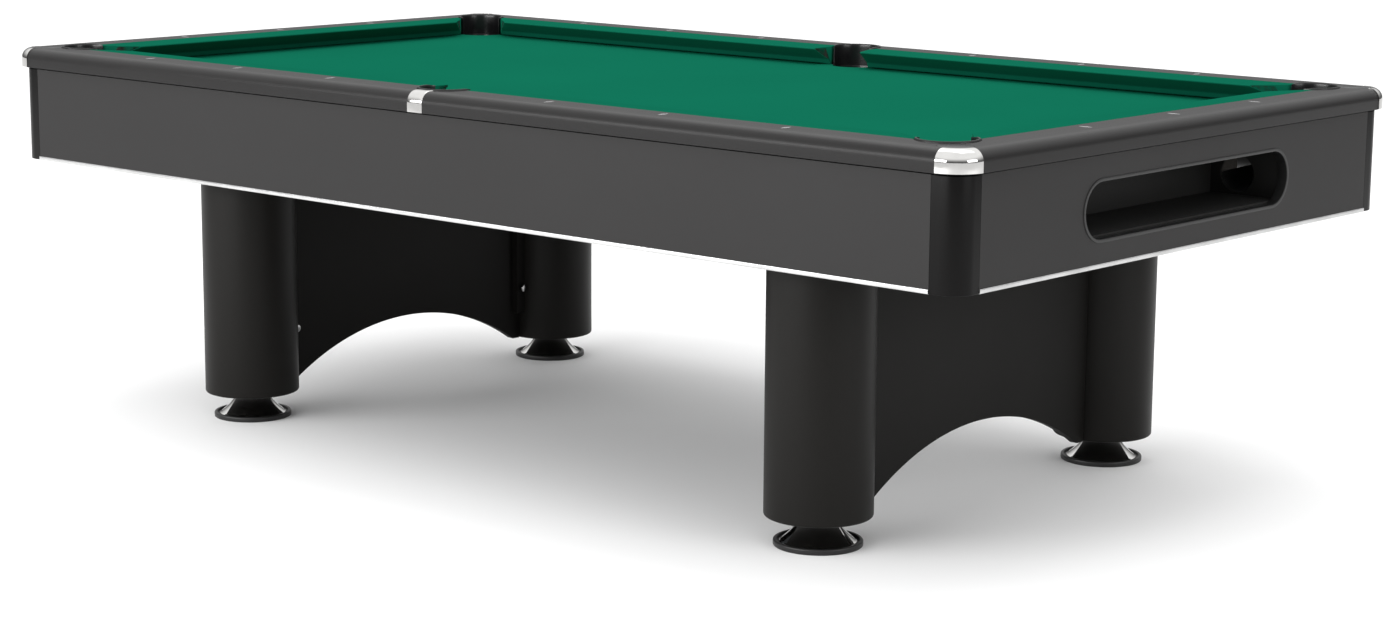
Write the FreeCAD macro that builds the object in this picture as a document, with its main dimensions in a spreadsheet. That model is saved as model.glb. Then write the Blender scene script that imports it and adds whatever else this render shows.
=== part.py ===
import FreeCAD, Part
import os
import Sketcher

# Pool table on four round legs, in millimetres.
# Origin on the floor under the middle of the table.  +X runs along the table to the
# ball-return end, +Y across it to the back, +Z up.  The long side at -Y is the front.

doc = FreeCAD.newDocument("PoolTable")

# ---------------------------------------------------------------- driving dimensions

DIMENSIONS = (
    ("play_length", 2240),       # between the cushion noses of the two ends
    ("play_width", 1120),        # between the cushion noses of the two long sides
    ("rail_top", 780),
    ("bed_top", 740),
    ("rail_span", 149),          # from a cushion's nose out to the rail's outer edge
    ("rail_bottom", 740),
    ("bullnose_radius", 23),
    ("cushion_span", 68),        # from a cushion's nose back to the edge of its cloth
    ("nose_drop", 4.5),          # the nose below the rail's top
    ("nose_back", 3),            # where the cushion's top turns down to the nose
    ("nose_lip", 1.2),           # where the undercut face starts, behind the nose
    ("ledge_out", 36),           # the undercut face's lower edge
    ("ledge_rise", 11.2),        # the same edge above the bed
    ("tuck_out", 43),            # where the cushion's cloth tucks in at the bed
    ("tuck_rise", 0.2),
    ("glue_out", 30),            # top of the rail's sloping front, behind the rubber
    ("glue_drop", 3.8),
    ("glue_gap", 0.9),           # rubber and cloth to the rail's sloping front
    ("wrap_wall", 1.2),          # the cushion cloth's wall, measured level
    ("rail_front", 28),          # a rail's wood starts this far from the nose
    ("sight_offset", 94),        # from a cushion's nose to the middle of a sight
    ("sight_pitch", 280),
    ("sight_start", 299),        # a long rail's first sight, from the table's middle
    ("sight_long", 30),
    ("sight_short", 11),
    ("sight_depth", 1.5),
    ("slate_thickness", 22),
    ("cloth_thickness", 1),
    ("slate_margin", 75),        # slate beyond the nose lines
    ("cloth_margin", 46),        # bed cloth beyond the nose lines
    ("corner_jaw", 82),          # from the noses' crossing to a cushion's end
    ("corner_slope", 1.28),      # a corner facing's run along the rail per unit of depth
    ("side_jaw", 64),            # half the width of a side pocket's mouth
    ("side_slope", 0.25),
    ("corner_pocket_out", 34),   # a corner pocket's axis, outside both nose lines
    ("side_pocket_out", 66),     # a side pocket's axis, outside the nose line
    ("throat_out", 46.5),        # where the cushions' end faces meet a pocket's wall
    ("pocket_radius", 50),
    ("liner_wall", 6),
    ("boot_wall", 4),
    ("boot_bottom", 700),
    ("funnel_bottom", 672),
    ("funnel_radius", 36),
    ("throat_reach", 150),       # how far a pocket's mouth is cleared toward the bed
    ("rim_rise", 3),             # pocket rim above the rail
    ("corner_center", 55),       # a corner's plan arc centre, inside the outer edges
    ("post_radius", 42),
    ("post_flat", 16),           # a post's straight run on either side of its round
    ("post_wall", 18),
    ("corner_disc", 31),         # the rails stop short of this disc on a corner's centre
    ("cap_inner", 32),
    ("cap_rise", 0.8),           # corner caps above the rail
    ("cap_proud", 1.5),
    ("cap_wall", 3),
    ("cap_bottom", 740.5),
    ("side_cap_width", 40),
    ("side_cap_long", 50),       # a side cap's reach in over the rail's top
    ("apron_inset", 13),
    ("apron_wall", 18),
    ("apron_top", 736),
    ("trim_bottom", 540),
    ("trim_tall", 8),
    ("trim_proud", 2),
    ("seam", 0.6),
    ("mouth_width", 670),        # ball-return opening, clear size
    ("mouth_tall", 100),
    ("mouth_middle", 640),
    ("edging_wall", 3),
    ("edging_flange", 3),
    ("edging_proud", 1.5),
    ("tray_back", 1085),
    ("tray_wall", 6),
    ("tray_half_width", 345),
    ("tray_floor", 594),
    ("tray_top", 700),
    ("gully_y", 605),
    ("gully_x", 1148),
    ("gully_z", 640),            # rim level of a gully at its corner
    ("gully_radius", 35),
    ("gully_wall", 3),
    ("gully_start", 1190),
    ("gully_slope_long", 0.45),
    ("gully_slope_end", 1.5),
    ("beam_wide", 90),
    ("beam_bottom", 576),
    ("beam_left", 1190),
    ("beam_right", 1050),
    ("cross_wide", 45),
    ("cross_tall", 120),
    ("leg_x", 787),
    ("leg_y", 460),
    ("leg_radius", 100),
    ("leg_bottom", 55),
    ("leg_top", 570),
    ("leg_round", 5),
    ("plate_side", 150),
    ("bolt_pitch", 100),
    ("leg_bolt_radius", 5),
    ("leg_bolt_down", 45),       # a leg bolt's length into the leg
    ("leg_bolt_up", 50),         # and into the side beam
    ("panel_outer", 808),        # outer face of an arched panel
    ("panel_wall", 18),
    ("panel_top", 562),
    ("arch_radius", 615),
    ("arch_top", 157),
    ("batten_wide", 26),
    ("batten_deep", 16),
    ("batten_bottom", 118),
    ("batten_top", 540),
    ("batten_tuck", 3),          # a batten's bite past the leg's side, cut away to fit
    ("knob_radius", 9),
    ("knob_long", 12),
    ("knob_inset", 60),          # knobs from a batten's ends
    ("socket_radius", 14),
    ("socket_long", 60),
    ("spindle_radius", 8),
    ("spindle_bottom", 14),
    ("spindle_top", 135),
    ("spindle_clearance", 0.05),
    ("spindle_bore_top", 165),
    ("pad_radius", 82),
    ("pad_tall", 11),
    ("pad_floor", 6),
    ("pad_ring", 7),
    ("pad_edge", 2),
    ("dome_foot_radius", 71),
    ("dome_middle_radius", 55),
    ("dome_middle", 26),
    ("dome_neck_radius", 42),
    ("dome_neck", 39),
    ("dome_top_radius", 37),
    ("dome_top", 54),
    ("rail_bolt_out", 56),       # rail bolts, outside the nose line
    ("rail_bolt_radius", 5),
    ("rail_bolt_head", 9),
    ("rail_bolt_top", 766),
    ("rail_bolt_pitch", 330),
    ("rail_bolt_nut", 6),        # height of a rail bolt's head
    ("skin_gap", 0.05),          # between surfaces that lie on each other
    ("fit_gap", 0.3),            # between fitted wooden or moulded pieces
    ("bore_gap", 0.5),           # around pieces that pass through a hole
    ("overrun", 5),              # cutters run this far past what they cut
)

sheet = doc.addObject("Spreadsheet::Sheet", "Sheet")
for row, (alias, value) in enumerate(DIMENSIONS, start=1):
    sheet.set("A%d" % row, alias)
    sheet.set("B%d" % row, str(value))
    sheet.setAlias("B%d" % row, alias)
doc.recompute()

# ------------------------------------------------------------- expressions in common


def cell(text):
    """Turns the plain names of sheet cells in an expression into references to them."""
    words = {alias for alias, value in DIMENSIONS}
    out = ""
    word = ""
    for letter in str(text) + " ":
        if letter.isalnum() or letter == "_":
            word += letter
            continue
        out += "Sheet." + word if word in words else word
        out += letter
        word = ""
    return out.strip()


def value_of(text):
    return float(sheet.evalExpression(cell(text)))


def minus(text, sign):
    return "(%s)" % text if sign > 0 else "-(%s)" % text


HALF_L = "play_length / 2"
HALF_W = "play_width / 2"
BED = "bed_top - cloth_thickness"
CORNER_X = "(play_length / 2 + rail_span - corner_center)"
CORNER_Y = "(play_width / 2 + rail_span - corner_center)"
POCKET_X = "(play_length / 2 + corner_pocket_out)"
POCKET_Y = "(play_width / 2 + corner_pocket_out)"
SIDE_POCKET_Y = "(play_width / 2 + side_pocket_out)"

FOUR_CORNERS = (
    ("front_left", -1, -1),
    ("front_right", 1, -1),
    ("back_left", -1, 1),
    ("back_right", 1, 1),
)

# ------------------------------------------------------------------- building blocks


def bind(item, settings):
    for name, text in settings.items():
        item.setExpression(name, cell(text))


def place(item, x=0, y=0, z=0):
    bind(item, {"Placement.Base.x": x, "Placement.Base.y": y, "Placement.Base.z": z})


def turn(item, axis, degrees):
    """Turns an item about an axis through its own origin."""
    item.Placement.Rotation = FreeCAD.Rotation(FreeCAD.Vector(*axis), degrees)


def box(name, low, high):
    item = doc.addObject("Part::Box", name)
    sizes = ["(%s) - (%s)" % (high[k], low[k]) for k in range(3)]
    bind(item, {"Length": sizes[0], "Width": sizes[1], "Height": sizes[2]})
    place(item, *low)
    return item


def box_around(name, x, y, z_low, z_high, size_x, size_y):
    low = ("(%s) - (%s) / 2" % (x, size_x), "(%s) - (%s) / 2" % (y, size_y), z_low)
    high = ("(%s) + (%s) / 2" % (x, size_x), "(%s) + (%s) / 2" % (y, size_y), z_high)
    return box(name, low, high)


def cylinder(name, radius, low, high, x=0, y=0):
    item = doc.addObject("Part::Cylinder", name)
    bind(item, {"Radius": radius, "Height": "(%s) - (%s)" % (high, low)})
    place(item, x, y, low)
    return item


def rod_along(name, axis, radius, start, length, across, z):
    """A cylinder lying along X or Y."""
    item = doc.addObject("Part::Cylinder", name)
    bind(item, {"Radius": radius, "Height": length})
    if axis == "x":
        turn(item, (0, 1, 0), 90)
        place(item, start, across, z)
    else:
        turn(item, (1, 0, 0), -90)
        place(item, across, start, z)
    return item


def fuse(name, items):
    item = doc.addObject("Part::MultiFuse", name)
    item.Shapes = items
    return item


def cut(name, base, tool):
    item = doc.addObject("Part::Cut", name)
    item.Base = base
    item.Tool = tool
    return item


def common(name, base, tool):
    item = doc.addObject("Part::Common", name)
    item.Base = base
    item.Tool = tool
    return item


def group(name, items):
    """Separate solids that share one sub-part."""
    item = doc.addObject("Part::Compound", name)
    item.Links = items
    return item


def origin_plane(body, role):
    return [feature for feature in body.Origin.OriginFeatures if feature.Role == role][0]


def sketch_loops(body, role, loops):
    """A sketch of closed polygons whose corners are all bound to the sheet."""
    sketch = body.newObject("Sketcher::SketchObject", body.Name + "_outline")
    sketch.AttachmentSupport = [(origin_plane(body, role), "")]
    sketch.MapMode = "FlatFace"
    for loop in loops:
        points = [FreeCAD.Vector(value_of(x), value_of(y), 0) for x, y in loop]
        first = sketch.GeometryCount
        count = len(points)
        for k in range(count):
            line = Part.LineSegment(points[k], points[(k + 1) % count])
            sketch.addGeometry(line, False)
        for k in range(count):
            following = first + (k + 1) % count
            sketch.addConstraint(Sketcher.Constraint("Coincident", first + k, 2, following, 1))
            for kind, text, value in (
                ("DistanceX", loop[k][0], points[k].x),
                ("DistanceY", loop[k][1], points[k].y),
            ):
                rule = Sketcher.Constraint(kind, -1, 1, first + k, 1, value)
                index = sketch.addConstraint(rule)
                sketch.setExpression("Constraints[%d]" % index, cell(text))
    return sketch


def pad(body, sketch, length, reverse=False):
    feature = body.newObject("PartDesign::Pad", body.Name + "_pad")
    feature.Profile = sketch
    feature.Reversed = reverse
    bind(feature, {"Length": length})
    return feature


def prism(name, loops, low, high):
    """Upright prism over one or more closed outlines seen from above."""
    body = doc.addObject("PartDesign::Body", name)
    body.AllowCompound = True
    sketch = sketch_loops(body, "XY_Plane", loops)
    pad(body, sketch, "(%s) - (%s)" % (high, low))
    place(body, 0, 0, low)
    return body


def bar(name, axis, section, start, length):
    """A section of (across, height) points drawn out along X or Y."""
    body = doc.addObject("PartDesign::Body", name)
    if axis == "x":
        pad(body, sketch_loops(body, "YZ_Plane", [section]), length)
        place(body, start, 0, 0)
    else:
        pad(body, sketch_loops(body, "XZ_Plane", [section]), length, reverse=True)
        place(body, 0, start, 0)
    return body


def turned(name, section, degrees=360):
    """A section of (radius, height) points turned about the Z axis."""
    body = doc.addObject("PartDesign::Body", name)
    sketch = sketch_loops(body, "XZ_Plane", [section])
    feature = body.newObject("PartDesign::Revolution", name + "_turned")
    feature.Profile = sketch
    feature.ReferenceAxis = (sketch, ["V_Axis"])
    feature.Angle = degrees
    return body


def round_edges(body, radius, test):
    """Rounds the edges whose every vertex passes the test."""
    doc.recompute()
    tip = body.Tip
    names = []
    for number, edge in enumerate(tip.Shape.Edges, start=1):
        if all(test(vertex.Point) for vertex in edge.Vertexes):
            names.append("Edge%d" % number)
    feature = body.newObject("PartDesign::Fillet", body.Name + "_round")
    feature.Base = (tip, names)
    bind(feature, {"Radius": radius})
    doc.recompute()
    return feature


def near(a, b):
    return abs(a - b) < 0.01


NODES = []


def node(label, item):
    """Names a finished sub-part."""
    item.Label = label
    NODES.append(item)
    return item


# ------------------------------------------------- the four sides, in along/out terms

# A rail's section and plan are written with "along" its side and "out" from its nose
# line.  Each side then maps them into the table's own axes.

SIDES = {
    "front": ("x", -1, HALF_W),
    "back": ("x", 1, HALF_W),
    "left": ("y", -1, HALF_L),
    "right": ("y", 1, HALF_L),
}


def across(side, out):
    axis, sign, half = SIDES[side]
    return minus("(%s) + (%s)" % (half, out), sign)


def side_section(side, points):
    return [(across(side, out), height) for out, height in points]


def side_plan(side, points):
    axis, sign, half = SIDES[side]
    if axis == "x":
        return [(along, across(side, out)) for along, out in points]
    return [(across(side, out), along) for along, out in points]


def facing(jaw_end, slope, out, sign):
    """Where a cushion's end face stands, at a distance out from the nose line."""
    return minus("(%s) + (%s) * (%s)" % (jaw_end, slope, out), sign)


LONG_CORNER_END = "play_length / 2 - corner_jaw"
END_CORNER_END = "play_width / 2 - corner_jaw"

# Each rail: its name, its side, and the two ends as (nose end, slope, bar end, sign).
# At a side pocket the cushion's end closes in with depth, so that slope is negative.
CORNER_END = (LONG_CORNER_END, "corner_slope", CORNER_X)
SHORT_END = (END_CORNER_END, "corner_slope", CORNER_Y)
SIDE_END = ("side_jaw", "-side_slope", "seam")

RAILS = (
    ("front_left", "front", (CORNER_END, -1), (SIDE_END, -1)),
    ("front_right", "front", (SIDE_END, 1), (CORNER_END, 1)),
    ("back_left", "back", (CORNER_END, -1), (SIDE_END, -1)),
    ("back_right", "back", (SIDE_END, 1), (CORNER_END, 1)),
    ("left_end", "left", (SHORT_END, -1), (SHORT_END, 1)),
    ("right_end", "right", (SHORT_END, -1), (SHORT_END, 1)),
)

# The rail's top steps down by the wrap where the cushion cloth is tucked in.
RAIL_SECTION = (
    ("tuck_out + 4 * wrap_wall", BED),
    ("tuck_out + 1.25 * wrap_wall", "bed_top + 1.2 * wrap_wall"),
    ("ledge_out + glue_gap + skin_gap", "bed_top + ledge_rise + glue_gap"),
    ("glue_out", "rail_top - glue_drop"),
    ("cushion_span", "rail_top - wrap_wall"),
    ("cushion_span", "rail_top"),
    ("rail_span", "rail_top"),
    ("rail_span", "rail_bottom"),
    ("slate_margin + 2", "rail_bottom"),
    ("slate_margin + 2", BED),
)

# The cloth's outer line from the rail's top round the nose to the bed, then its
# inner line back along the rubber.
CLOTH_SECTION = (
    ("cushion_span - fit_gap", "rail_top"),
    ("nose_back", "rail_top - 0.6 * nose_drop"),
    ("0", "rail_top - nose_drop"),
    ("nose_lip", "rail_top - 1.5 * nose_drop"),
    ("ledge_out", "bed_top + ledge_rise"),
    ("tuck_out", "bed_top + tuck_rise"),
    ("tuck_out + wrap_wall", "bed_top + tuck_rise + 0.7 * wrap_wall"),
    ("ledge_out + glue_gap", "bed_top + ledge_rise + wrap_wall / 2"),
    ("nose_lip + 1.3 * wrap_wall", "rail_top - 1.5 * nose_drop + fit_gap"),
    ("1.3 * wrap_wall", "rail_top - nose_drop - fit_gap"),
    ("nose_back + fit_gap", "rail_top - 0.6 * nose_drop - 0.8 * wrap_wall"),
    ("cushion_span - fit_gap", "rail_top - 0.8 * wrap_wall"),
)

RUBBER_SECTION = (
    ("nose_back + bore_gap", "rail_top - glue_drop"),
    ("1.6 * wrap_wall", "rail_top - nose_drop - fit_gap"),
    ("2.5 * wrap_wall", "rail_top - 1.4 * nose_drop"),
    ("ledge_out + glue_gap", "bed_top + ledge_rise + glue_gap"),
    ("glue_out - skin_gap", "rail_top - glue_drop"),
)


def plan_between(side, first, last, out_near, out_far):
    """Outline from above between a rail's two end faces."""
    (jaw_a, slope_a, bar_a), sign_a = first
    (jaw_b, slope_b, bar_b), sign_b = last
    return side_plan(side, (
        (facing(jaw_a, slope_a, out_near, sign_a), out_near),
        (facing(jaw_b, slope_b, out_near, sign_b), out_near),
        (facing(jaw_b, slope_b, out_far, sign_b), out_far),
        (facing(jaw_a, slope_a, out_far, sign_a), out_far),
    ))


def outer_end(bar_end, sign):
    """A rail's end outside the cloth: mitred at a corner, square at a side pocket."""
    if bar_end == "seam":
        return [(minus(bar_end, sign), "cushion_span")]
    miter = " - (rail_span - corner_center - cushion_span)"
    return [(minus(bar_end + miter, sign), "cushion_span"),
            (minus(bar_end, sign), "rail_span - corner_center")]


def rail_plan(side, first, last):
    """Outline of a rail: its end faces back to the cloth's edge, then its full length."""
    (jaw_a, slope_a, bar_a), sign_a = first
    (jaw_b, slope_b, bar_b), sign_b = last
    edge = "cushion_span"
    outline = [
        (facing(jaw_a, slope_a, "rail_front", sign_a), "rail_front"),
        (facing(jaw_b, slope_b, "rail_front", sign_b), "rail_front"),
        (facing(jaw_b, slope_b, edge, sign_b), edge),
    ]
    outline += outer_end(bar_b, sign_b)
    outline += [
        (minus(bar_b, sign_b), "rail_span + overrun"),
        (minus(bar_a, sign_a), "rail_span + overrun"),
    ]
    outline += reversed(outer_end(bar_a, sign_a))
    outline.append((facing(jaw_a, slope_a, edge, sign_a), edge))
    return side_plan(side, outline)


def full_bar(name, side, section):
    """A section drawn out over a whole side of the table."""
    axis, sign, half = SIDES[side]
    reach = CORNER_X if axis == "x" else CORNER_Y
    return bar(name, axis, side_section(side, section), "-%s" % reach, "2 * %s" % reach)


# ------------------------------------------------------------------------ pocket cuts


def pocket_axes():
    for label, sx, sy in FOUR_CORNERS:
        yield label, minus(POCKET_X, sx), minus(POCKET_Y, sy), sx, sy
    for label, sy in (("front_middle", -1), ("back_middle", 1)):
        yield label, "0", minus(SIDE_POCKET_Y, sy), 0, sy


def pocket_cylinders(name, radius, low, high):
    items = []
    for label, x, y, sx, sy in pocket_axes():
        items.append(cylinder("%s_%s" % (name, label), radius, low, high, x, y))
    return fuse(name, items)


SLATE_BOTTOM = BED + " - slate_thickness"
BOOT_HOLE = "pocket_radius + boot_wall + bore_gap"

rail_pockets = pocket_cylinders(
    "rail_pockets", "pocket_radius + liner_wall + fit_gap",
    "rail_bottom - overrun", "rail_top + overrun")
slate_pockets = pocket_cylinders(
    "slate_pockets", BOOT_HOLE, SLATE_BOTTOM + " - overrun", "bed_top + overrun")
cloth_pockets = pocket_cylinders(
    "cloth_pockets", BOOT_HOLE, "bed_top - overrun", "bed_top + overrun")

corner_discs = fuse("corner_discs", [
    cylinder("corner_disc_" + label, "corner_disc", "rail_bottom - overrun",
             "rail_top + overrun", minus(CORNER_X, sx), minus(CORNER_Y, sy))
    for label, sx, sy in FOUR_CORNERS
])

# ------------------------------------------------------------------------- rail bolts


def rail_bolt_places():
    middle = "(play_length / 2 - corner_jaw + side_jaw) / 2"
    for side in ("front", "back"):
        for sx in (-1, 1):
            for step in (-1, 0, 1):
                along = minus("%s + %d * rail_bolt_pitch" % (middle, step), sx)
                yield along, across(side, "rail_bolt_out")
    for side in ("left", "right"):
        for step in (-1, 0, 1):
            yield across(side, "rail_bolt_out"), "%d * rail_bolt_pitch" % step


def bolt_row(name, radius, low, high):
    items = []
    for number, (x, y) in enumerate(rail_bolt_places()):
        items.append(cylinder("%s_%d" % (name, number), radius, low, high, x, y))
    return items


rail_bores = fuse("rail_bores", bolt_row(
    "rail_bore", "rail_bolt_radius", "rail_bottom - overrun", "rail_bolt_top"))
slate_bores = fuse("slate_bores", bolt_row(
    "slate_bore", "rail_bolt_radius + 3 * bore_gap",
    SLATE_BOTTOM + " - overrun", "bed_top + overrun"))

# -------------------------------------------------------------------- slate and cloth

slate_blank = box(
    "slate_blank",
    ("-(play_length / 2 + slate_margin)", "-(play_width / 2 + slate_margin)", SLATE_BOTTOM),
    ("play_length / 2 + slate_margin", "play_width / 2 + slate_margin", BED))
# Outside a corner pocket's axis the slate is sawn away square.
slate_corners = [
    box_around("slate_corner_" + label, minus(POCKET_X + " + slate_margin", sx),
               minus(POCKET_Y + " + slate_margin", sy), SLATE_BOTTOM + " - overrun",
               "bed_top + overrun", "2 * slate_margin", "2 * slate_margin")
    for label, sx, sy in FOUR_CORNERS
]
slate_open = cut("slate_open", slate_blank, fuse("slate_holes", slate_corners + [slate_pockets]))
node("slate_bed", cut("slate_drilled", slate_open, slate_bores))

cloth_blank = box(
    "cloth_blank",
    ("-(play_length / 2 + cloth_margin)", "-(play_width / 2 + cloth_margin)", BED),
    ("play_length / 2 + cloth_margin", "play_width / 2 + cloth_margin", "bed_top"))
node("bed_cloth", cut("cloth_open", cloth_blank, cloth_pockets))

# ----------------------------------------------------------------------------- sights


def sight_loop(side, along):
    """A narrow rhombus whose long axis lies across the rail."""
    return side_plan(side, (
        (along, "sight_offset - sight_long / 2"),
        ("(%s) + sight_short / 2" % along, "sight_offset"),
        (along, "sight_offset + sight_long / 2"),
        ("(%s) - sight_short / 2" % along, "sight_offset"),
    ))


def sight_places(side, sx):
    """Three sights on each rail; a long rail's start half a pitch past the side pocket."""
    if side in ("front", "back"):
        return [minus("sight_start + %d * sight_pitch" % k, sx) for k in range(3)]
    return ["%d * sight_pitch" % k for k in (-1, 0, 1)]


def sight_bar(name, side, sx, low, high):
    loops = [sight_loop(side, along) for along in sight_places(side, sx)]
    return prism(name, loops, low, high)


# -------------------------------------------------------------- rails and their cloth

sights = []
rubbers = []
for label, side, first, last in RAILS:
    sx = -1 if label.endswith("left") else 1

    # The wooden rail, its outer top edge rounded to the bull-nose.
    whole = full_bar("rail_bar_" + label, side, RAIL_SECTION)
    outer_edge = value_of(across(side, "rail_span"))
    if side in ("front", "back"):
        round_edges(whole, "bullnose_radius",
                    lambda p: near(p.y, outer_edge) and near(p.z, value_of("rail_top")))
    else:
        round_edges(whole, "bullnose_radius",
                    lambda p: near(p.x, outer_edge) and near(p.z, value_of("rail_top")))
    outline = prism("rail_plan_" + label, [rail_plan(side, first, last)],
                    "rail_bottom - overrun", "rail_top + overrun")
    shaped = common("rail_shaped_" + label, whole, outline)
    opened = cut("rail_opened_" + label, shaped, rail_pockets)
    stopped = cut("rail_stopped_" + label, opened, corner_discs)
    drilled = cut("rail_drilled_" + label, stopped, rail_bores)
    recess = sight_bar("sight_recess_" + label, side, sx,
                       "rail_top - sight_depth", "rail_top + overrun")
    node("rail_" + label, cut("rail_inlaid_" + label, drilled, recess))
    sights.append(sight_bar("sights_" + label, side, sx,
                            "rail_top - sight_depth", "rail_top + 4 * skin_gap"))

    # The cushion cloth wraps the rubber and the front of the rail.
    ends = prism("cushion_plan_" + label,
                 [plan_between(side, first, last, "-overrun", "cushion_span + overrun")],
                 "bed_top - overrun", "rail_top + overrun")
    wrap = common("cloth_shaped_" + label,
                  full_bar("cloth_bar_" + label, side, CLOTH_SECTION), ends)
    node("cushion_cloth_" + label, cut("cloth_cut_" + label, wrap, rail_pockets))

    # The cushion rubber is glued to the rail's sloping front face.
    core = common("rubber_shaped_" + label,
                  full_bar("rubber_bar_" + label, side, RUBBER_SECTION), ends)
    rubbers.append(cut("rubber_cut_" + label, core, rail_pockets))

node("cushion_rubbers", group("rubber_group", rubbers))
node("rail_sights", group("sight_group", sights))

# ----------------------------------------------------------------------- rail bolting

shanks = bolt_row("rail_bolt_shank", "rail_bolt_radius", SLATE_BOTTOM, "rail_bolt_top - 1")
heads = bolt_row("rail_bolt_head", "rail_bolt_head",
                 SLATE_BOTTOM + " - rail_bolt_nut", SLATE_BOTTOM)
rail_bolts = [
    fuse("rail_bolt_%d" % number, [shank, head])
    for number, (shank, head) in enumerate(zip(shanks, heads))
]
node("rail_bolts", group("rail_bolt_group", rail_bolts))

# --------------------------------------------------------------------- pocket liners


def throat(label, sx, sy):
    """The open way from the bed into a pocket, between the two cushions' end faces."""
    if sx:
        near_x = facing(LONG_CORNER_END, "corner_slope", "0", sx)
        deep_x = facing(LONG_CORNER_END, "corner_slope", "throat_out", sx)
        near_y = facing(END_CORNER_END, "corner_slope", "0", sy)
        deep_y = facing(END_CORNER_END, "corner_slope", "throat_out", sy)
        loop = (
            (near_x, minus(HALF_W, sy)),
            (deep_x, minus(HALF_W + " + throat_out", sy)),
            (minus(POCKET_X, sx), minus(POCKET_Y, sy)),
            (minus(HALF_L + " + throat_out", sx), deep_y),
            (minus(HALF_L, sx), near_y),
            (minus(HALF_L + " - throat_reach", sx), near_y),
            (minus(HALF_L + " - throat_reach", sx), minus(HALF_W + " - throat_reach", sy)),
            (near_x, minus(HALF_W + " - throat_reach", sy)),
        )
    else:
        half = "side_jaw - side_slope * throat_out"
        loop = (
            ("-side_jaw", minus(HALF_W, sy)),
            ("-(%s)" % half, minus(HALF_W + " + throat_out", sy)),
            ("0", minus(SIDE_POCKET_Y, sy)),
            (half, minus(HALF_W + " + throat_out", sy)),
            ("side_jaw", minus(HALF_W, sy)),
            ("side_jaw", minus(HALF_W + " - throat_reach", sy)),
            ("-side_jaw", minus(HALF_W + " - throat_reach", sy)),
        )
    return prism("throat_" + label, [loop], "bed_top", "rail_top + 2 * overrun")


def quarter(name, sx, sy, gap, low, high):
    """A tall square block outside a corner's centre, as far in as the gap from it."""
    middle = " + %s + corner_center" % gap
    return box_around(name, minus(CORNER_X + middle, sx), minus(CORNER_Y + middle, sy),
                      low, high, "2 * corner_center", "2 * corner_center")


def funnel(name, wall, x, y, sy):
    """A skew cone that leads a ball from the pocket in to the gully."""
    upper = doc.addObject("Part::Circle", name + "_upper")
    bind(upper, {"Radius": "pocket_radius + %s" % wall})
    place(upper, x, y, "boot_bottom")
    lower = doc.addObject("Part::Circle", name + "_lower")
    bind(lower, {"Radius": "funnel_radius + %s" % wall})
    place(lower, x, minus("gully_y", sy), "funnel_bottom")
    item = doc.addObject("Part::Loft", name)
    item.Sections = [upper, lower]
    item.Solid = True
    item.Ruled = True
    return item


for label, x, y, sx, sy in pocket_axes():
    name = "liner_" + label
    rim = cylinder(name + "_rim", "pocket_radius + liner_wall", "bed_top",
                   "rail_top + rim_rise", x, y)
    boot = cylinder(name + "_boot", "pocket_radius + boot_wall", "boot_bottom",
                    "bed_top", x, y)
    outside = [rim, boot, funnel(name + "_outside", "boot_wall", x, y, sy)]
    if sx:
        # The corner block: a disc between the rails' ends, and a quarter round that
        # fills the space inside the cap, both on the corner's own centre.
        outside.append(cylinder(name + "_disc", "corner_disc - fit_gap", "bed_top",
                                "rail_top", minus(CORNER_X, sx), minus(CORNER_Y, sy)))
        block = cylinder(name + "_block", "cap_inner", "rail_bottom", "rail_top",
                         minus(CORNER_X, sx), minus(CORNER_Y, sy))
        square = quarter(name + "_quarter", sx, sy, "bore_gap",
                         "rail_bottom - overrun", "rail_top + overrun")
        outside.append(common(name + "_corner", block, square))
    blank = fuse(name + "_blank", outside)
    bore = cylinder(name + "_bore", "pocket_radius", "boot_bottom", "rail_top + overrun", x, y)
    hollow = fuse(name + "_hollow", [bore, funnel(name + "_inside", "0", x, y, sy)])
    tube = cut(name + "_tube", blank, hollow)
    node("pocket_liner_" + label, cut(name + "_open", tube, throat(label, sx, sy)))

# ------------------------------------------------------------------------ chrome caps

CAP_OUTER = "corner_center + cap_proud"
CAP_TOP = "rail_top + cap_rise"
CAP_SECTION = (
    ("cap_inner + fit_gap", CAP_TOP),
    (CAP_OUTER, CAP_TOP),
    (CAP_OUTER, "cap_bottom"),
    (CAP_OUTER + " - cap_wall", "cap_bottom"),
    (CAP_OUTER + " - cap_wall", CAP_TOP + " - cap_wall"),
    ("cap_inner + fit_gap", CAP_TOP + " - cap_wall"),
)


def radius_of(p):
    return (p.x ** 2 + p.y ** 2) ** 0.5


caps = []
for label, sx, sy in FOUR_CORNERS:
    cap = turned("corner_cap_" + label, CAP_SECTION, 90)
    outer = value_of(CAP_OUTER)
    top = value_of(CAP_TOP)
    wall = value_of("cap_wall")
    round_edges(cap, "bullnose_radius",
                lambda p: near(radius_of(p), outer) and near(p.z, top))
    round_edges(cap, "bullnose_radius - cap_wall",
                lambda p: near(radius_of(p), outer - wall) and near(p.z, top - wall))
    quarter_turn = {(1, 1): 0, (-1, 1): 90, (-1, -1): 180, (1, -1): 270}[(sx, sy)]
    turn(cap, (0, 0, 1), quarter_turn)
    place(cap, minus(CORNER_X, sx), minus(CORNER_Y, sy), 0)
    caps.append(cap)
node("corner_caps", group("corner_cap_group", caps))

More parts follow.
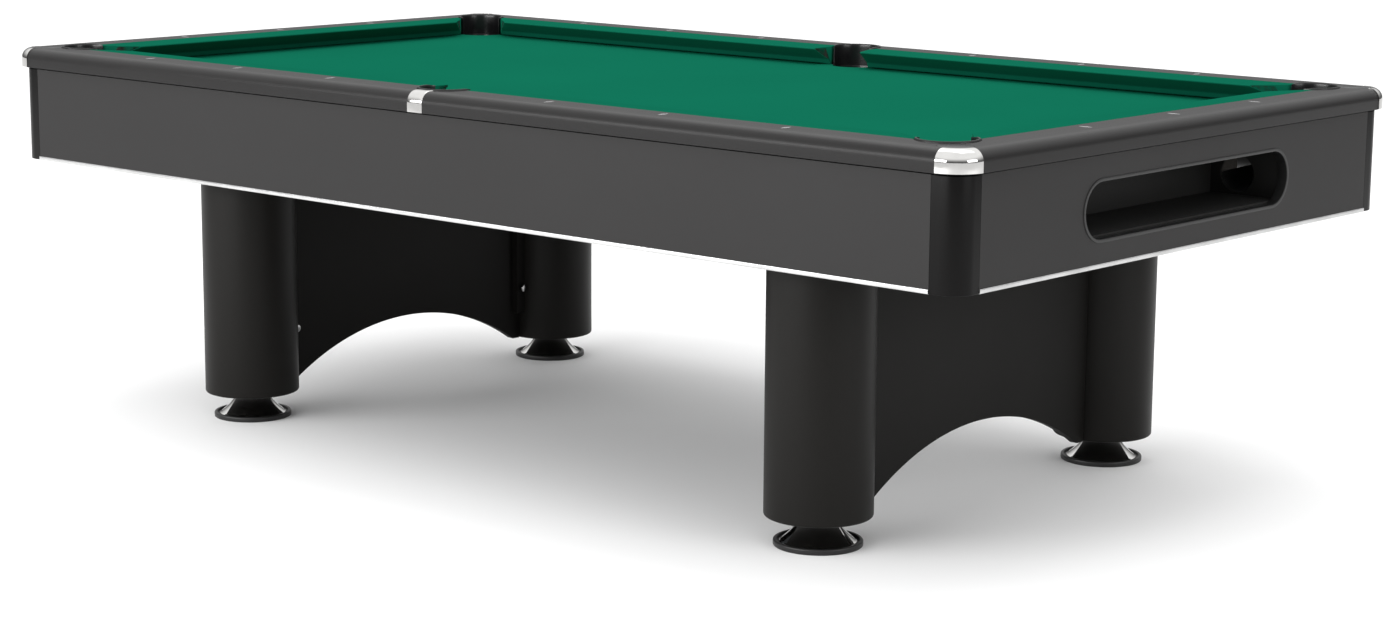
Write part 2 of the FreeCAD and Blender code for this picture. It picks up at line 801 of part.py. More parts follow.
# A side cap bridges the joint between two long rails, outside the side pocket's rim.
CAP_EDGE = "rail_span + cap_proud"
SIDE_CAP_SECTION = (
    ("rail_span - side_cap_long", "rail_top + cap_proud"),
    (CAP_EDGE, "rail_top + cap_proud"),
    (CAP_EDGE, "cap_bottom"),
    ("rail_span + skin_gap", "cap_bottom"),
    ("rail_span + skin_gap", "rail_top + skin_gap"),
    ("rail_span - side_cap_long", "rail_top + skin_gap"),
)
side_caps = []
for side in ("front", "back"):
    band = bar("side_cap_bar_" + side, "x", side_section(side, SIDE_CAP_SECTION),
               "-side_cap_width / 2", "side_cap_width")
    outer = value_of(across(side, CAP_EDGE))
    inner = value_of(across(side, "rail_span + skin_gap"))
    round_edges(band, "bullnose_radius + cap_proud",
                lambda p: near(p.y, outer) and near(p.z, value_of("rail_top + cap_proud")))
    round_edges(band, "bullnose_radius + skin_gap",
                lambda p: near(p.y, inner) and near(p.z, value_of("rail_top + skin_gap")))
    side_caps.append(cut("side_cap_" + side, band, rail_pockets))
node("side_caps", group("side_cap_group", side_caps))

# ------------------------------------------------------------------- aprons and posts

APRON_OUT = "rail_span - apron_inset"
APRON_IN = "rail_span - apron_inset - apron_wall"
APRON_LOW = "trim_bottom + trim_tall"


def side_slab(name, side, out_near, out_far, low, high):
    axis, sign, half = SIDES[side]
    reach = (CORNER_X if axis == "x" else CORNER_Y) + " - post_flat - seam"
    outs = (out_near, out_far) if sign > 0 else (out_far, out_near)
    lows = side_plan(side, (("-(%s)" % reach, outs[0]),))[0]
    highs = side_plan(side, ((reach, outs[1]),))[0]
    return box(name, (lows[0], lows[1], low), (highs[0], highs[1], high))


def stadium(name, grow, x_low, x_high):
    """A long slot with round ends through the right-hand apron."""
    radius = "mouth_tall / 2 + %s" % grow
    straight = "(mouth_width - mouth_tall) / 2"
    middle = box(name + "_middle",
                 (x_low, "-" + straight, "mouth_middle - (%s)" % radius),
                 (x_high, straight, "mouth_middle + %s" % radius))
    length = "(%s) - (%s)" % (x_high, x_low)
    ends = [
        rod_along("%s_end_%d" % (name, k), "x", radius, x_low, length,
                  minus(straight, sign), "mouth_middle")
        for k, sign in enumerate((-1, 1))
    ]
    return fuse(name, [middle] + ends)


APRON_FACE = "(play_length / 2 + rail_span - apron_inset)"
APRON_BACK = "(play_length / 2 + rail_span - apron_inset - apron_wall)"

trims = []
for side in ("front", "back", "left", "right"):
    slab = side_slab("apron_slab_" + side, side, APRON_IN, APRON_OUT, APRON_LOW, "apron_top")
    if side == "right":
        slot = stadium("mouth", "edging_wall", APRON_BACK + " - overrun",
                       APRON_FACE + " + overrun")
        slab = cut("apron_slotted", slab, slot)
    if side in ("front", "back"):
        # A relief on the inside, where the side pocket's boot stands against the apron.
        relief = cylinder("apron_relief_" + side, BOOT_HOLE, "boot_bottom - 2 * overrun",
                          "apron_top + overrun", "0", across(side, "side_pocket_out"))
        slab = cut("apron_relieved_" + side, slab, relief)
    node("apron_" + side, slab)
    trims.append(side_slab("trim_" + side, side, APRON_IN, APRON_OUT + " + trim_proud",
                           "trim_bottom", APRON_LOW))
node("bottom_trims", group("trim_group", trims))

edging_outside = fuse("edging_outside", [
    stadium("edging_sleeve", "edging_wall", APRON_BACK, APRON_FACE),
    stadium("edging_lip", "edging_wall + edging_flange", APRON_FACE,
            APRON_FACE + " + edging_proud"),
])
edging_inside = stadium("edging_inside", "0", APRON_BACK + " - overrun",
                        APRON_FACE + " + overrun")
node("ball_mouth_edging", cut("edging", edging_outside, edging_inside))

posts = []
for label, sx, sy in FOUR_CORNERS:
    x = minus(CORNER_X, sx)
    y = minus(CORNER_Y, sy)
    disc = cylinder("post_disc_" + label, "post_radius", "trim_bottom", "apron_top", x, y)
    core = cylinder("post_core_" + label, "post_radius - post_wall", "trim_bottom - overrun",
                    "apron_top + overrun", x, y)
    tube = cut("post_tube_" + label, disc, core)
    square = quarter("post_quarter_" + label, sx, sy, "0",
                     "trim_bottom - overrun", "apron_top + overrun")
    middle = "post_radius - post_wall / 2"
    flats = [
        box_around("post_flat_x_" + label, minus(CORNER_X + " - post_flat / 2", sx),
                   minus(CORNER_Y + " + " + middle, sy), "trim_bottom", "apron_top",
                   "post_flat", "post_wall"),
        box_around("post_flat_y_" + label, minus(CORNER_X + " + " + middle, sx),
                   minus(CORNER_Y + " - post_flat / 2", sy), "trim_bottom", "apron_top",
                   "post_wall", "post_flat"),
    ]
    posts.append(fuse("post_" + label, [common("post_round_" + label, tube, square)] + flats))
node("corner_posts", group("post_group", posts))

# ------------------------------------------------------- ball tray and return gullies

tray_outer = box(
    "tray_outer",
    ("tray_back", "-tray_half_width", "tray_floor - tray_wall"),
    (APRON_BACK + " - bore_gap", "tray_half_width", "tray_top"))
tray_inner = box(
    "tray_inner",
    ("tray_back + tray_wall", "-(tray_half_width - tray_wall)", "tray_floor"),
    (APRON_BACK + " + overrun", "tray_half_width - tray_wall", "tray_top + overrun"))
tray_entry = rod_along("tray_entry", "y", "gully_radius + 2 * bore_gap",
                       "-(tray_half_width + overrun)", "2 * (tray_half_width + overrun)",
                       "gully_x", "gully_z - tray_wall")
tray_shell = cut("tray_shell", tray_outer, tray_inner)
node("ball_tray", cut("tray_notched", tray_shell, tray_entry))


def gully_solid(name, radius, sy):
    """Two lying rods that meet in a ball, drawn about the gully's corner."""
    long_rod = rod_along(name + "_long", "x", radius, "-(gully_x + gully_start)",
                         "gully_x + gully_start", "0", "0")
    reach = "gully_y - tray_half_width - 2 * bore_gap"
    start = "0" if sy < 0 else "-(%s)" % reach
    end_rod = rod_along(name + "_end", "y", radius, start, reach, "0", "0")
    ball = doc.addObject("Part::Sphere", name + "_ball")
    bind(ball, {"Radius": radius})
    return fuse(name, [long_rod, end_rod, ball])


for side, sy in (("front", -1), ("back", 1)):
    shell = cut("gully_shell_" + side,
                gully_solid("gully_outside_" + side, "gully_radius + gully_wall", sy),
                gully_solid("gully_inside_" + side, "gully_radius", sy))
    lid = box("gully_lid_" + side, ("-2 * play_length", "-play_width", "0"),
              ("play_length", "play_width", "3 * gully_radius"))
    trough = cut("gully_trough_" + side, shell, lid)
    fall_long = FreeCAD.Rotation(FreeCAD.Vector(0, 1, 0), value_of("gully_slope_long"))
    fall_end = FreeCAD.Rotation(FreeCAD.Vector(1, 0, 0), value_of("gully_slope_end") * sy)
    trough.Placement.Rotation = fall_end.multiply(fall_long)
    place(trough, "gully_x", minus("gully_y", sy), "gully_z")
    node("return_gully_" + side, trough)

# ---------------------------------------------------------------------- cabinet frame

def leg_bolt_row(name, radius, low, high, label, sx, sy):
    """The two bolts that hold a leg, or the holes that they pass through."""
    return [
        cylinder("%s_%s_%d" % (name, label, number), radius, low, high,
                 "%s + %d * bolt_pitch / 2" % (minus("leg_x", sx), step), minus("leg_y", sy))
        for number, step in enumerate((-1, 1))
    ]


beam_bores = []
for label, sx, sy in FOUR_CORNERS:
    beam_bores += leg_bolt_row("beam_bore", "leg_bolt_radius", "beam_bottom - overrun",
                               "beam_bottom + leg_bolt_up + bore_gap", label, sx, sy)
beam_holes = fuse("beam_holes", beam_bores)

beams = []
for side, sy in (("front", -1), ("back", 1)):
    blank = box(
        "beam_blank_" + side,
        ("-beam_left", minus("leg_y", sy) + " - beam_wide / 2", "beam_bottom"),
        ("beam_right", minus("leg_y", sy) + " + beam_wide / 2", SLATE_BOTTOM))
    beams.append(cut("beam_" + side, blank, beam_holes))
node("side_beams", group("beam_group", beams))

CROSS_PLACES = ("-beam_left + 2 * cross_wide", "-leg_x", "0", "leg_x", "beam_right - cross_wide")
crossings = [
    box_around("cross_beam_%d" % number, x, "0", SLATE_BOTTOM + " - cross_tall", SLATE_BOTTOM,
               "cross_wide", "2 * leg_y - beam_wide")
    for number, x in enumerate(CROSS_PLACES)
]
node("cross_beams", group("cross_beam_group", crossings))

# ------------------------------------------------------------------------------- legs

LEG_SECTION = (
    ("0", "leg_bottom"),
    ("leg_radius", "leg_bottom"),
    ("leg_radius", "leg_top"),
    ("0", "leg_top"),
)

plates = []
leg_bolts = []
leg_rods = []
sockets = []
for label, sx, sy in FOUR_CORNERS:
    x = minus("leg_x", sx)
    y = minus("leg_y", sy)

    column = turned("leg_column_" + label, LEG_SECTION)
    round_edges(column, "leg_round",
                lambda p: near(p.z, value_of("leg_bottom")) and radius_of(p) > 1)
    place(column, x, y, 0)
    bore = cylinder("leg_bore_" + label, "socket_radius", "leg_bottom - overrun",
                    "spindle_bore_top", x, y)
    leg_holes = leg_bolt_row("leg_hole", "leg_bolt_radius",
                             "leg_top - leg_bolt_down - bore_gap", "leg_top + overrun",
                             label, sx, sy)
    node("leg_" + label, cut("leg_drilled_" + label, column,
                             fuse("leg_holes_" + label, [bore] + leg_holes)))

    plate = box_around("leg_plate_blank_" + label, x, y, "leg_top", "beam_bottom",
                       "plate_side", "plate_side / 2")
    plate_holes = leg_bolt_row("plate_hole", "leg_bolt_radius + bore_gap",
                               "leg_top - overrun", "beam_bottom + overrun", label, sx, sy)
    plates.append(cut("leg_plate_" + label, plate, fuse("plate_holes_" + label, plate_holes)))
    leg_bolts += leg_bolt_row("leg_bolt_shank", "leg_bolt_radius", "leg_top - leg_bolt_down",
                              "beam_bottom + leg_bolt_up", label, sx, sy)

    rod = cylinder("leg_clear_" + label, "leg_radius + fit_gap", "0", "leg_top + overrun", x, y)
    leg_rods.append(rod)

    sleeve = cylinder("socket_sleeve_" + label, "socket_radius", "leg_bottom",
                      "leg_bottom + socket_long", x, y)
    sleeve_bore = cylinder("socket_bore_" + label, "spindle_radius + spindle_clearance",
                           "leg_bottom - overrun", "leg_bottom + socket_long + overrun", x, y)
    sockets.append(cut("socket_" + label, sleeve, sleeve_bore))

node("leg_top_plates", group("leg_plate_group", plates))
node("leg_bolts", group("leg_bolt_group", leg_bolts))
node("foot_sockets", group("socket_group", sockets))

# --------------------------------------------------------------------- arched panels

leg_clearance = fuse("leg_clearance", leg_rods)
panel_cut = rod_along("arch_rod", "x", "arch_radius", "-play_length", "2 * play_length",
                      "0", "arch_top - arch_radius")
battens = []
knobs = []
for label, sx in (("left", -1), ("right", 1)):
    outer = minus("panel_outer", sx)
    inner = minus("panel_outer - panel_wall", sx)
    lows, highs = (outer, inner) if sx < 0 else (inner, outer)
    blank = box("panel_blank_" + label, (lows, "-leg_y", "leg_bottom"),
                (highs, "leg_y", "panel_top"))
    arched = cut("panel_arched_" + label, blank, panel_cut)
    node("arch_panel_" + label, cut("panel_" + label, arched, leg_clearance))

    # Battens stand in the corners between the panel's inner face and the legs.
    for tag, sy in (("front", -1), ("back", 1)):
        y = minus("leg_y - leg_radius - batten_wide / 2 + batten_tuck", sy)
        x = minus("panel_outer - panel_wall - batten_deep / 2", sx)
        stick = box_around("batten_blank_%s_%s" % (label, tag), x, y, "batten_bottom",
                           "batten_top", "batten_deep", "batten_wide")
        battens.append(cut("batten_%s_%s" % (label, tag), stick, leg_clearance))
        face = "panel_outer - panel_wall - batten_deep"
        start = "(%s) - knob_long" % face if sx > 0 else minus(face, -1)
        for number, height in enumerate(("batten_bottom + knob_inset",
                                         "batten_top - knob_inset")):
            knobs.append(rod_along("knob_%s_%s_%d" % (label, tag, number), "x",
                                   "knob_radius", start, "knob_long", y, height))
node("panel_battens", group("batten_group", battens))
node("panel_knobs", group("knob_group", knobs))

# ------------------------------------------------------------------- levelling feet

PAD_SECTION = (
    ("0", "0"),
    ("pad_radius - pad_edge", "0"),
    ("pad_radius", "pad_edge"),
    ("pad_radius", "pad_tall - 1.5 * pad_edge"),
    ("pad_radius - pad_edge", "pad_tall - fit_gap"),
    ("pad_radius - pad_ring / 2", "pad_tall"),
    ("pad_radius - pad_ring + pad_edge / 2", "pad_tall - fit_gap"),
    ("pad_radius - pad_ring", "pad_floor"),
    ("0", "pad_floor"),
)

DOME_SECTION = (
    ("0", "pad_floor"),
    ("dome_foot_radius", "pad_floor"),
    ("dome_foot_radius - pad_edge / 2", "2 * pad_floor"),
    ("dome_middle_radius", "dome_middle"),
    ("dome_neck_radius", "dome_neck"),
    ("dome_top_radius", "dome_top"),
    ("0", "dome_top"),
)

for label, sx, sy in FOUR_CORNERS:
    x = minus("leg_x", sx)
    y = minus("leg_y", sy)
    pad_body = turned("pad_turned_" + label, PAD_SECTION)
    place(pad_body, x, y, 0)
    node("foot_pad_" + label, pad_body)

    dome = turned("dome_turned_" + label, DOME_SECTION)
    place(dome, x, y, 0)
    dome_bore = cylinder("dome_bore_" + label, "spindle_radius + spindle_clearance",
                         "spindle_bottom", "dome_top + overrun", x, y)
    node("foot_dome_" + label, cut("dome_bored_" + label, dome, dome_bore))

    node("foot_spindle_" + label,
         cylinder("spindle_" + label, "spindle_radius", "spindle_bottom", "spindle_top", x, y))

# ------------------------------------------------------------------ check and write

doc.recompute()

for item in doc.Objects:
    if "Invalid" in item.State or "Error" in item.State:
        raise RuntimeError("%s failed: %s" % (item.Name, item.State))

os.makedirs("parts", exist_ok=True)
for item in NODES:
    if item.Shape.isNull() or not item.Shape.isValid():
        raise RuntimeError("%s has no sound shape" % item.Label)
    item.Shape.exportStep("parts/%s.step" % item.Label)
print("%d sub-parts written" % len(NODES))
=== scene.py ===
from math import pi, radians

import bmesh
import bpy
import numpy as np
from bpy.props import FloatProperty, FloatVectorProperty, PointerProperty
from mathutils import Matrix, Vector


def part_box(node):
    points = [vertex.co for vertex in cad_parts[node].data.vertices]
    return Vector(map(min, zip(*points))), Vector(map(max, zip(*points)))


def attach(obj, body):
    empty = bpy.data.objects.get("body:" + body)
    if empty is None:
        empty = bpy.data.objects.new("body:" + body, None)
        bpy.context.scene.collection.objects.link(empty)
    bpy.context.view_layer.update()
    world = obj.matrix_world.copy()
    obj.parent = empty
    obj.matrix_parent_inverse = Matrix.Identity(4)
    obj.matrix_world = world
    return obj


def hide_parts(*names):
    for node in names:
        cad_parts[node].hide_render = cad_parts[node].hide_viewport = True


bl_info = {
    "name": "Pool Table",
    "version": (1, 0, 0),
    "blender": (4, 5, 0),
    "location": "3D View > Sidebar > Pool Table",
    "description": "Builds the cloth, rails, pockets, legs and feet of a pool table on its frame",
    "category": "Add Mesh",
}

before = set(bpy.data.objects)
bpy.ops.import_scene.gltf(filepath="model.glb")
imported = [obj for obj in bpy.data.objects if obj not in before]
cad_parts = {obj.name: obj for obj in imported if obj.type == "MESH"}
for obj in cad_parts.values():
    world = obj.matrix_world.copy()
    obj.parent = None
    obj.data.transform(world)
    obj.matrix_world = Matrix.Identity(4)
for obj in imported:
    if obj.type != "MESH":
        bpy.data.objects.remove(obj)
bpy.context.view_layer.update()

# ------------------------------------------------------------- places, from the frame


def low(node):
    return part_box(node)[0]


def high(node):
    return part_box(node)[1]


NOSE_X = low("cushion_cloth_right_end").x
NOSE_Y = low("cushion_cloth_back_left").y
RAIL_TOP = high("rail_right_end").z
RAIL_SPAN = high("rail_right_end").x - NOSE_X
BED_TOP = high("bed_cloth").z
BED_LOW = low("bed_cloth").z
CLOTH_X = high("bed_cloth").x
CLOTH_Y = high("bed_cloth").y
RIM_TOP = high("pocket_liner_front_left").z
FUNNEL_LOW = low("pocket_liner_front_middle").z
CAP_LOW = low("corner_caps").z
CAP_TOP = high("corner_caps").z
CAP_PROUD = high("corner_caps").x - high("rail_right_end").x
POST_LOW = low("corner_posts").z
POST_TOP = high("corner_posts").z
APRON_FACE_X = high("apron_right").x
APRON_BACK_X = low("apron_right").x
APRON_LOW = low("apron_right").z
TRIM_PROUD = high("bottom_trims").x - APRON_FACE_X
LEG_X = 0.5 * (low("leg_back_right").x + high("leg_back_right").x)
LEG_Y = 0.5 * (low("leg_back_right").y + high("leg_back_right").y)
LEG_RADIUS = 0.5 * (high("leg_back_right").x - low("leg_back_right").x)
LEG_LOW = low("leg_back_right").z
LEG_TOP = high("leg_back_right").z
PANEL_OUT = high("arch_panel_right").x
PANEL_IN = low("arch_panel_right").x
PANEL_TOP = high("arch_panel_right").z
PAD_RADIUS = 0.5 * (high("foot_pad_back_right").x - low("foot_pad_back_right").x)
PAD_TOP = high("foot_pad_back_right").z
DOME_LOW = low("foot_dome_back_right").z
DOME_TOP = high("foot_dome_back_right").z
DOME_RADIUS = 0.5 * (high("foot_dome_back_right").x - low("foot_dome_back_right").x)
SPINDLE_LOW = low("foot_spindle_back_right").z
SPINDLE_TOP = high("foot_spindle_back_right").z
SPINDLE_RADIUS = 0.5 * (high("foot_spindle_back_right").x - low("foot_spindle_back_right").x)

FIT = 0.0003                     # gap between two neighbouring pieces
TUCK_RISE = 0.0002               # where the cloth tucks in, above the bed
BOOT_GAP = 0.0005                # gap between a boot and the bed cloth's hole
FRONT_FOOT = 0.048               # foot of the rail's sloping front, from the nose
FRONT_LIP = 0.0444               # the front's lip above the cloth, from the nose
FRONT_LIP_RISE = 0.0014          # the same lip above the bed
FRONT_LEDGE = 0.037              # behind the cushion's ledge, from the nose
FRONT_LEDGE_RISE = 0.0121        # the same edge above the bed
FRONT_TOP = 0.030                # top of the sloping front, from the nose
FRONT_TOP_DROP = 0.0038          # the same edge below the rail's top
GROOVE_DROP = 0.0012             # step down where the cloth is tucked in
PANEL_EDGE = 0.0012              # width of a panel's eased edges

CORNERS = {
    "front_left": (-1, -1),
    "front_right": (1, -1),
    "back_left": (-1, 1),
    "back_right": (1, 1),
}
# Each side: the axis that it runs along, which side of the middle it stands on, half its
# own length between the noses' crossings and its nose line's distance from the middle.
SIDES = {
    "front": ("x", -1, NOSE_X, NOSE_Y),
    "back": ("x", 1, NOSE_X, NOSE_Y),
    "left": ("y", -1, NOSE_Y, NOSE_X),
    "right": ("y", 1, NOSE_Y, NOSE_X),
}
# Each rail: its side, and its two ends as a kind of pocket and a direction.
RAILS = {
    "front_left": ("front", ("corner", -1), ("side", -1)),
    "front_right": ("front", ("side", 1), ("corner", 1)),
    "back_left": ("back", ("corner", -1), ("side", -1)),
    "back_right": ("back", ("side", 1), ("corner", 1)),
    "left_end": ("left", ("corner", -1), ("corner", 1)),
    "right_end": ("right", ("corner", -1), ("corner", 1)),
}

# --------------------------------------------------------------------------- settings


def length(name, default, description):
    return FloatProperty(name=name, default=default, description=description, min=0.0,
                         precision=4, unit="LENGTH")


def ratio(name, default, description):
    return FloatProperty(name=name, default=default, description=description)


def angle(name, default, description):
    return FloatProperty(name=name, default=radians(default), description=description,
                         unit="ROTATION", subtype="ANGLE")


def colour(name, default, description):
    return FloatVectorProperty(name=name, default=default, description=description, size=3,
                               min=0.0, max=1.0, subtype="COLOR")


class StageSettings(bpy.types.PropertyGroup):
    camera_place: FloatVectorProperty(
        name="Camera place", description="Where the camera stands", size=3,
        default=(3.9220, -4.3644, 1.3482), subtype="XYZ", unit="LENGTH")
    camera_turn: angle("Camera turn", 41.244, "Turn about the upright axis")
    camera_dip: angle("Camera dip", 10.433, "Angle that the camera looks down by")
    camera_roll: angle("Camera roll", 0.468, "Turn about the line of sight")
    lens: FloatProperty(name="Lens", description="Focal length", default=73.38, unit="CAMERA")
    floor_size: length("Floor size", 90.0, "Side of the square floor")
    floor_colour: colour("Floor", (0.86, 0.86, 0.86), "Pale studio floor")
    sky_light: ratio("Overhead light", 1.58, "Brightness of the light from above")
    wall_light: ratio("Wall light", 0.18, "Brightness of the light from the level horizon")
    key_light: ratio("Key light", 360.0, "Power of the large light in front, in watts")
    side_light: ratio("Side light", 90.0, "Power of the light at the ball-return end, in watts")
    top_light: ratio("Top light", 40.0, "Power of the light above the bed, in watts")


class ClothSettings(bpy.types.PropertyGroup):
    bed_colour: colour("Bed", (0.0037, 0.105, 0.060), "Bed cloth")
    cushion_colour: colour("Cushions", (0.0036, 0.101, 0.058), "Cushion cloth")
    wall: length("Cloth", 0.001, "Thickness of the cloth")
    lip_round: length("Lip", 0.004, "Radius of the bed cloth's fold into a pocket")
    lip_drop: length("Lip drop", 0.012, "Cloth that hangs inside a pocket")
    nose_round: length("Nose", 0.0019, "Radius of a cushion's nose")
    nose_drop: length("Nose drop", 0.0045, "Nose below the rail's top")
    ledge_out: length("Ledge", 0.036, "Lower edge of the undercut face, from the nose")
    ledge_rise: length("Ledge rise", 0.0112, "The same edge above the bed")
    tuck_out: length("Tuck", 0.043, "Where the cloth tucks in at the bed, from the nose")
    fold_round: length("Fold", 0.0025, "Radius of the cloth's fold at a cushion's end")


class PocketSettings(bpy.types.PropertyGroup):
    corner_out: length("Corner pocket", 0.034, "Corner pocket's axis, outside both nose lines")
    side_out: length("Side pocket", 0.066, "Side pocket's axis, outside the nose line")
    bore: length("Bore", 0.050, "Inner radius of a pocket")
    wall: length("Wall", 0.006, "Wall of a pocket's rim")
    boot_wall: length("Boot", 0.004, "Wall of the boot below the bed")
    boot_low: length("Boot's foot", 0.700, "Height of the boot's lower end")
    funnel_radius: length("Funnel", 0.036, "Radius of the funnel's outlet")
    funnel_y: length("Funnel place", 0.605, "The outlets' distance from the long centre plane")
    throat: length("Throat", 0.0465, "Where the cushions' ends meet the rim, from the nose")
    corner_jaw: length("Corner jaw", 0.082, "From the noses' crossing to a cushion's end")
    corner_slope: ratio("Corner slope", 1.28, "Run of a corner facing per unit of depth")
    side_jaw: length("Side jaw", 0.064, "Half the width of a side pocket's mouth")
    side_slope: ratio("Side slope", 0.25, "Run of a side facing per unit of depth")
    plastic: colour("Liner", (0.0060, 0.0060, 0.0065), "Moulded pocket liner")


class RailSettings(bpy.types.PropertyGroup):
    cloth_edge: length("Cloth edge", 0.068, "Where the wood starts, from the nose")
    bull_nose: length("Bull-nose", 0.023, "Radius of the rail's outer edge")
    corner_centre: length("Corner centre", 0.055, "Corner's arc centre, inside the outer edges")
    corner_disc: length("Corner disc", 0.031, "Disc on a corner's centre that cuts the rails' ends")
    cap_inner: length("Cap hole", 0.0323, "Inner radius of a corner cap")
    cap_wall: length("Cap wall", 0.003, "Wall of a corner cap")
    side_cap: length("Side cap", 0.040, "Width of a side cap")
    sight_out: length("Sight place", 0.094, "Middle of a sight, from the nose")
    sight_start: length("First sight", 0.299, "First sight of a long rail, from the middle")
    sight_pitch: length("Sight pitch", 0.280, "From one sight to the next")
    sight_long: length("Sight length", 0.030, "Length of a sight")
    sight_wide: length("Sight width", 0.011, "Width of a sight")
    laminate: colour("Laminate", (0.0105, 0.0100, 0.0100), "Black rail laminate")
    sight_colour: colour("Sights", (0.30, 0.295, 0.29), "Pearl sights")
    chrome: colour("Chrome", (0.50, 0.495, 0.485), "Polished chrome")


class CabinetSettings(bpy.types.PropertyGroup):
    apron_colour: colour("Apron", (0.0100, 0.0094, 0.0094), "Black apron laminate")
    post_radius: length("Post", 0.042, "Outer radius of a corner post")
    post_flat: length("Post's flat", 0.016, "A post's straight run on either side of its round")
    post_wall: length("Post wall", 0.018, "Wall of a corner post")
    apron_wall: length("Apron", 0.018, "Thickness of an apron")
    seam: length("Seam", 0.0006, "Gap between an apron and a post")
    trim_colour: colour("Trim", (0.52, 0.52, 0.52), "Bright aluminium trim")
    mouth_long: length("Ball mouth", 0.670, "Clear length of the ball-return opening")
    mouth_tall: length("Mouth height", 0.100, "Clear height of the ball-return opening")
    mouth_middle: length("Mouth place", 0.640, "Height of the opening's middle")
    edging_wall: length("Edging", 0.003, "Wall of the opening's edging")
    edging_flange: length("Flange", 0.003, "Width of the edging's flange")
    edging_proud: length("Flange proud", 0.0015, "Height of the edging's flange")
    edging_colour: colour("Edging", (0.008, 0.008, 0.008), "Black edging")


class LegSettings(bpy.types.PropertyGroup):
    leg_colour: colour("Legs", (0.0075, 0.0070, 0.0062), "Matte black leg laminate")
    panel_colour: colour("Panels", (0.0060, 0.0056, 0.0050), "Matte black panel laminate")
    leg_round: length("Leg edge", 0.005, "Radius of a leg's lower edge")
    arch_radius: length("Arch", 0.615, "Radius of a panel's arch")
    arch_top: length("Arch top", 0.157, "Height of the arch's crown")
    bore: length("Socket", 0.014, "Radius of the socket's hole in a leg")
    bore_top: length("Socket's end", 0.165, "Height of the hole's end")
    ring_wide: length("Pad ring", 0.007, "Width of a pad's raised ring")
    dome_neck: length("Dome neck", 0.037, "Radius of a foot dome's top")
    thread_pitch: length("Thread pitch", 0.002, "Pitch of a levelling spindle")
    thread_deep: length("Thread depth", 0.0006, "Depth of a levelling spindle's thread")
    knob_radius: length("Knob", 0.009, "Radius of a panel's knob")
    knob_long: length("Knob length", 0.012, "Length of a panel's knob")
    pad_colour: colour("Pads", (0.010, 0.010, 0.010), "Black moulded pad")
    steel_colour: colour("Steel", (0.52, 0.53, 0.54), "Zinc-plated steel")


GROUPS = {
    "pool_stage": StageSettings,
    "pool_cloth": ClothSettings,
    "pool_pockets": PocketSettings,
    "pool_rails": RailSettings,
    "pool_cabinet": CabinetSettings,
    "pool_legs": LegSettings,
}

# --------------------------------------------------------------------- mesh building


def side_points(side, along, out, z):
    """Table points from a distance along a side, out from its nose line and a height."""
    axis, sign, half, nose = SIDES[side]
    across = sign * (nose + np.asarray(out))
    pair = (along, across) if axis == "x" else (across, along)
    return np.stack(np.broadcast_arrays(pair[0], pair[1], z), -1)


def rounded(corners, radii, steps=6, closed=False):
    """Corners joined by straight runs, each turned by an arc that touches both its runs.

    An arc's centre is on the corner's bisector at radius / sin(half the inside angle), and
    its points swing evenly from one touching point to the other."""
    corners = np.asarray(corners, float)
    radii = np.broadcast_to(radii, len(corners))
    runs = []
    for k, radius in enumerate(radii):
        here = corners[k]
        at_end = not closed and k in (0, len(corners) - 1)
        if radius == 0 or at_end:
            runs.append(here[None])
            continue
        back = corners[k - 1] - here
        ahead = corners[(k + 1) % len(corners)] - here
        back = back / np.linalg.norm(back)
        ahead = ahead / np.linalg.norm(ahead)
        half = 0.5 * np.arccos(back @ ahead)
        bisector = (back + ahead) / np.linalg.norm(back + ahead)
        centre = here + bisector * radius / np.sin(half)
        start = here + back * radius / np.tan(half) - centre
        stop = here + ahead * radius / np.tan(half) - centre
        turn = pi - 2 * half
        t = np.linspace(0, 1, steps + 1)[:, None]
        runs.append(centre + (np.sin((1 - t) * turn) * start + np.sin(t * turn) * stop)
                    / np.sin(turn))
    return np.concatenate(runs)


def ring(loops):
    """A tube from closed loops, with a flat face at each of its two ends."""
    return [np.concatenate([loops, loops[:, :1]], 1), loops[0], loops[-1]]


def closed_ring(loops):
    """A tube whose last loop joins its first."""
    tube = np.concatenate([loops, loops[:1]])
    return [np.concatenate([tube, tube[:, :1]], 1)]


def lathe(profile, centre, start=0.0, stop=2 * pi, steps=72):
    """A profile of (radius, z) turned about an upright axis: at angle t a point stands at
    centre + (radius cos t, radius sin t, z)."""
    t = np.linspace(start, stop, steps + 1)[:, None]
    radius, z = np.asarray(profile, float).T
    return np.stack(np.broadcast_arrays(
        centre[0] + radius * np.cos(t), centre[1] + radius * np.sin(t), z), -1)


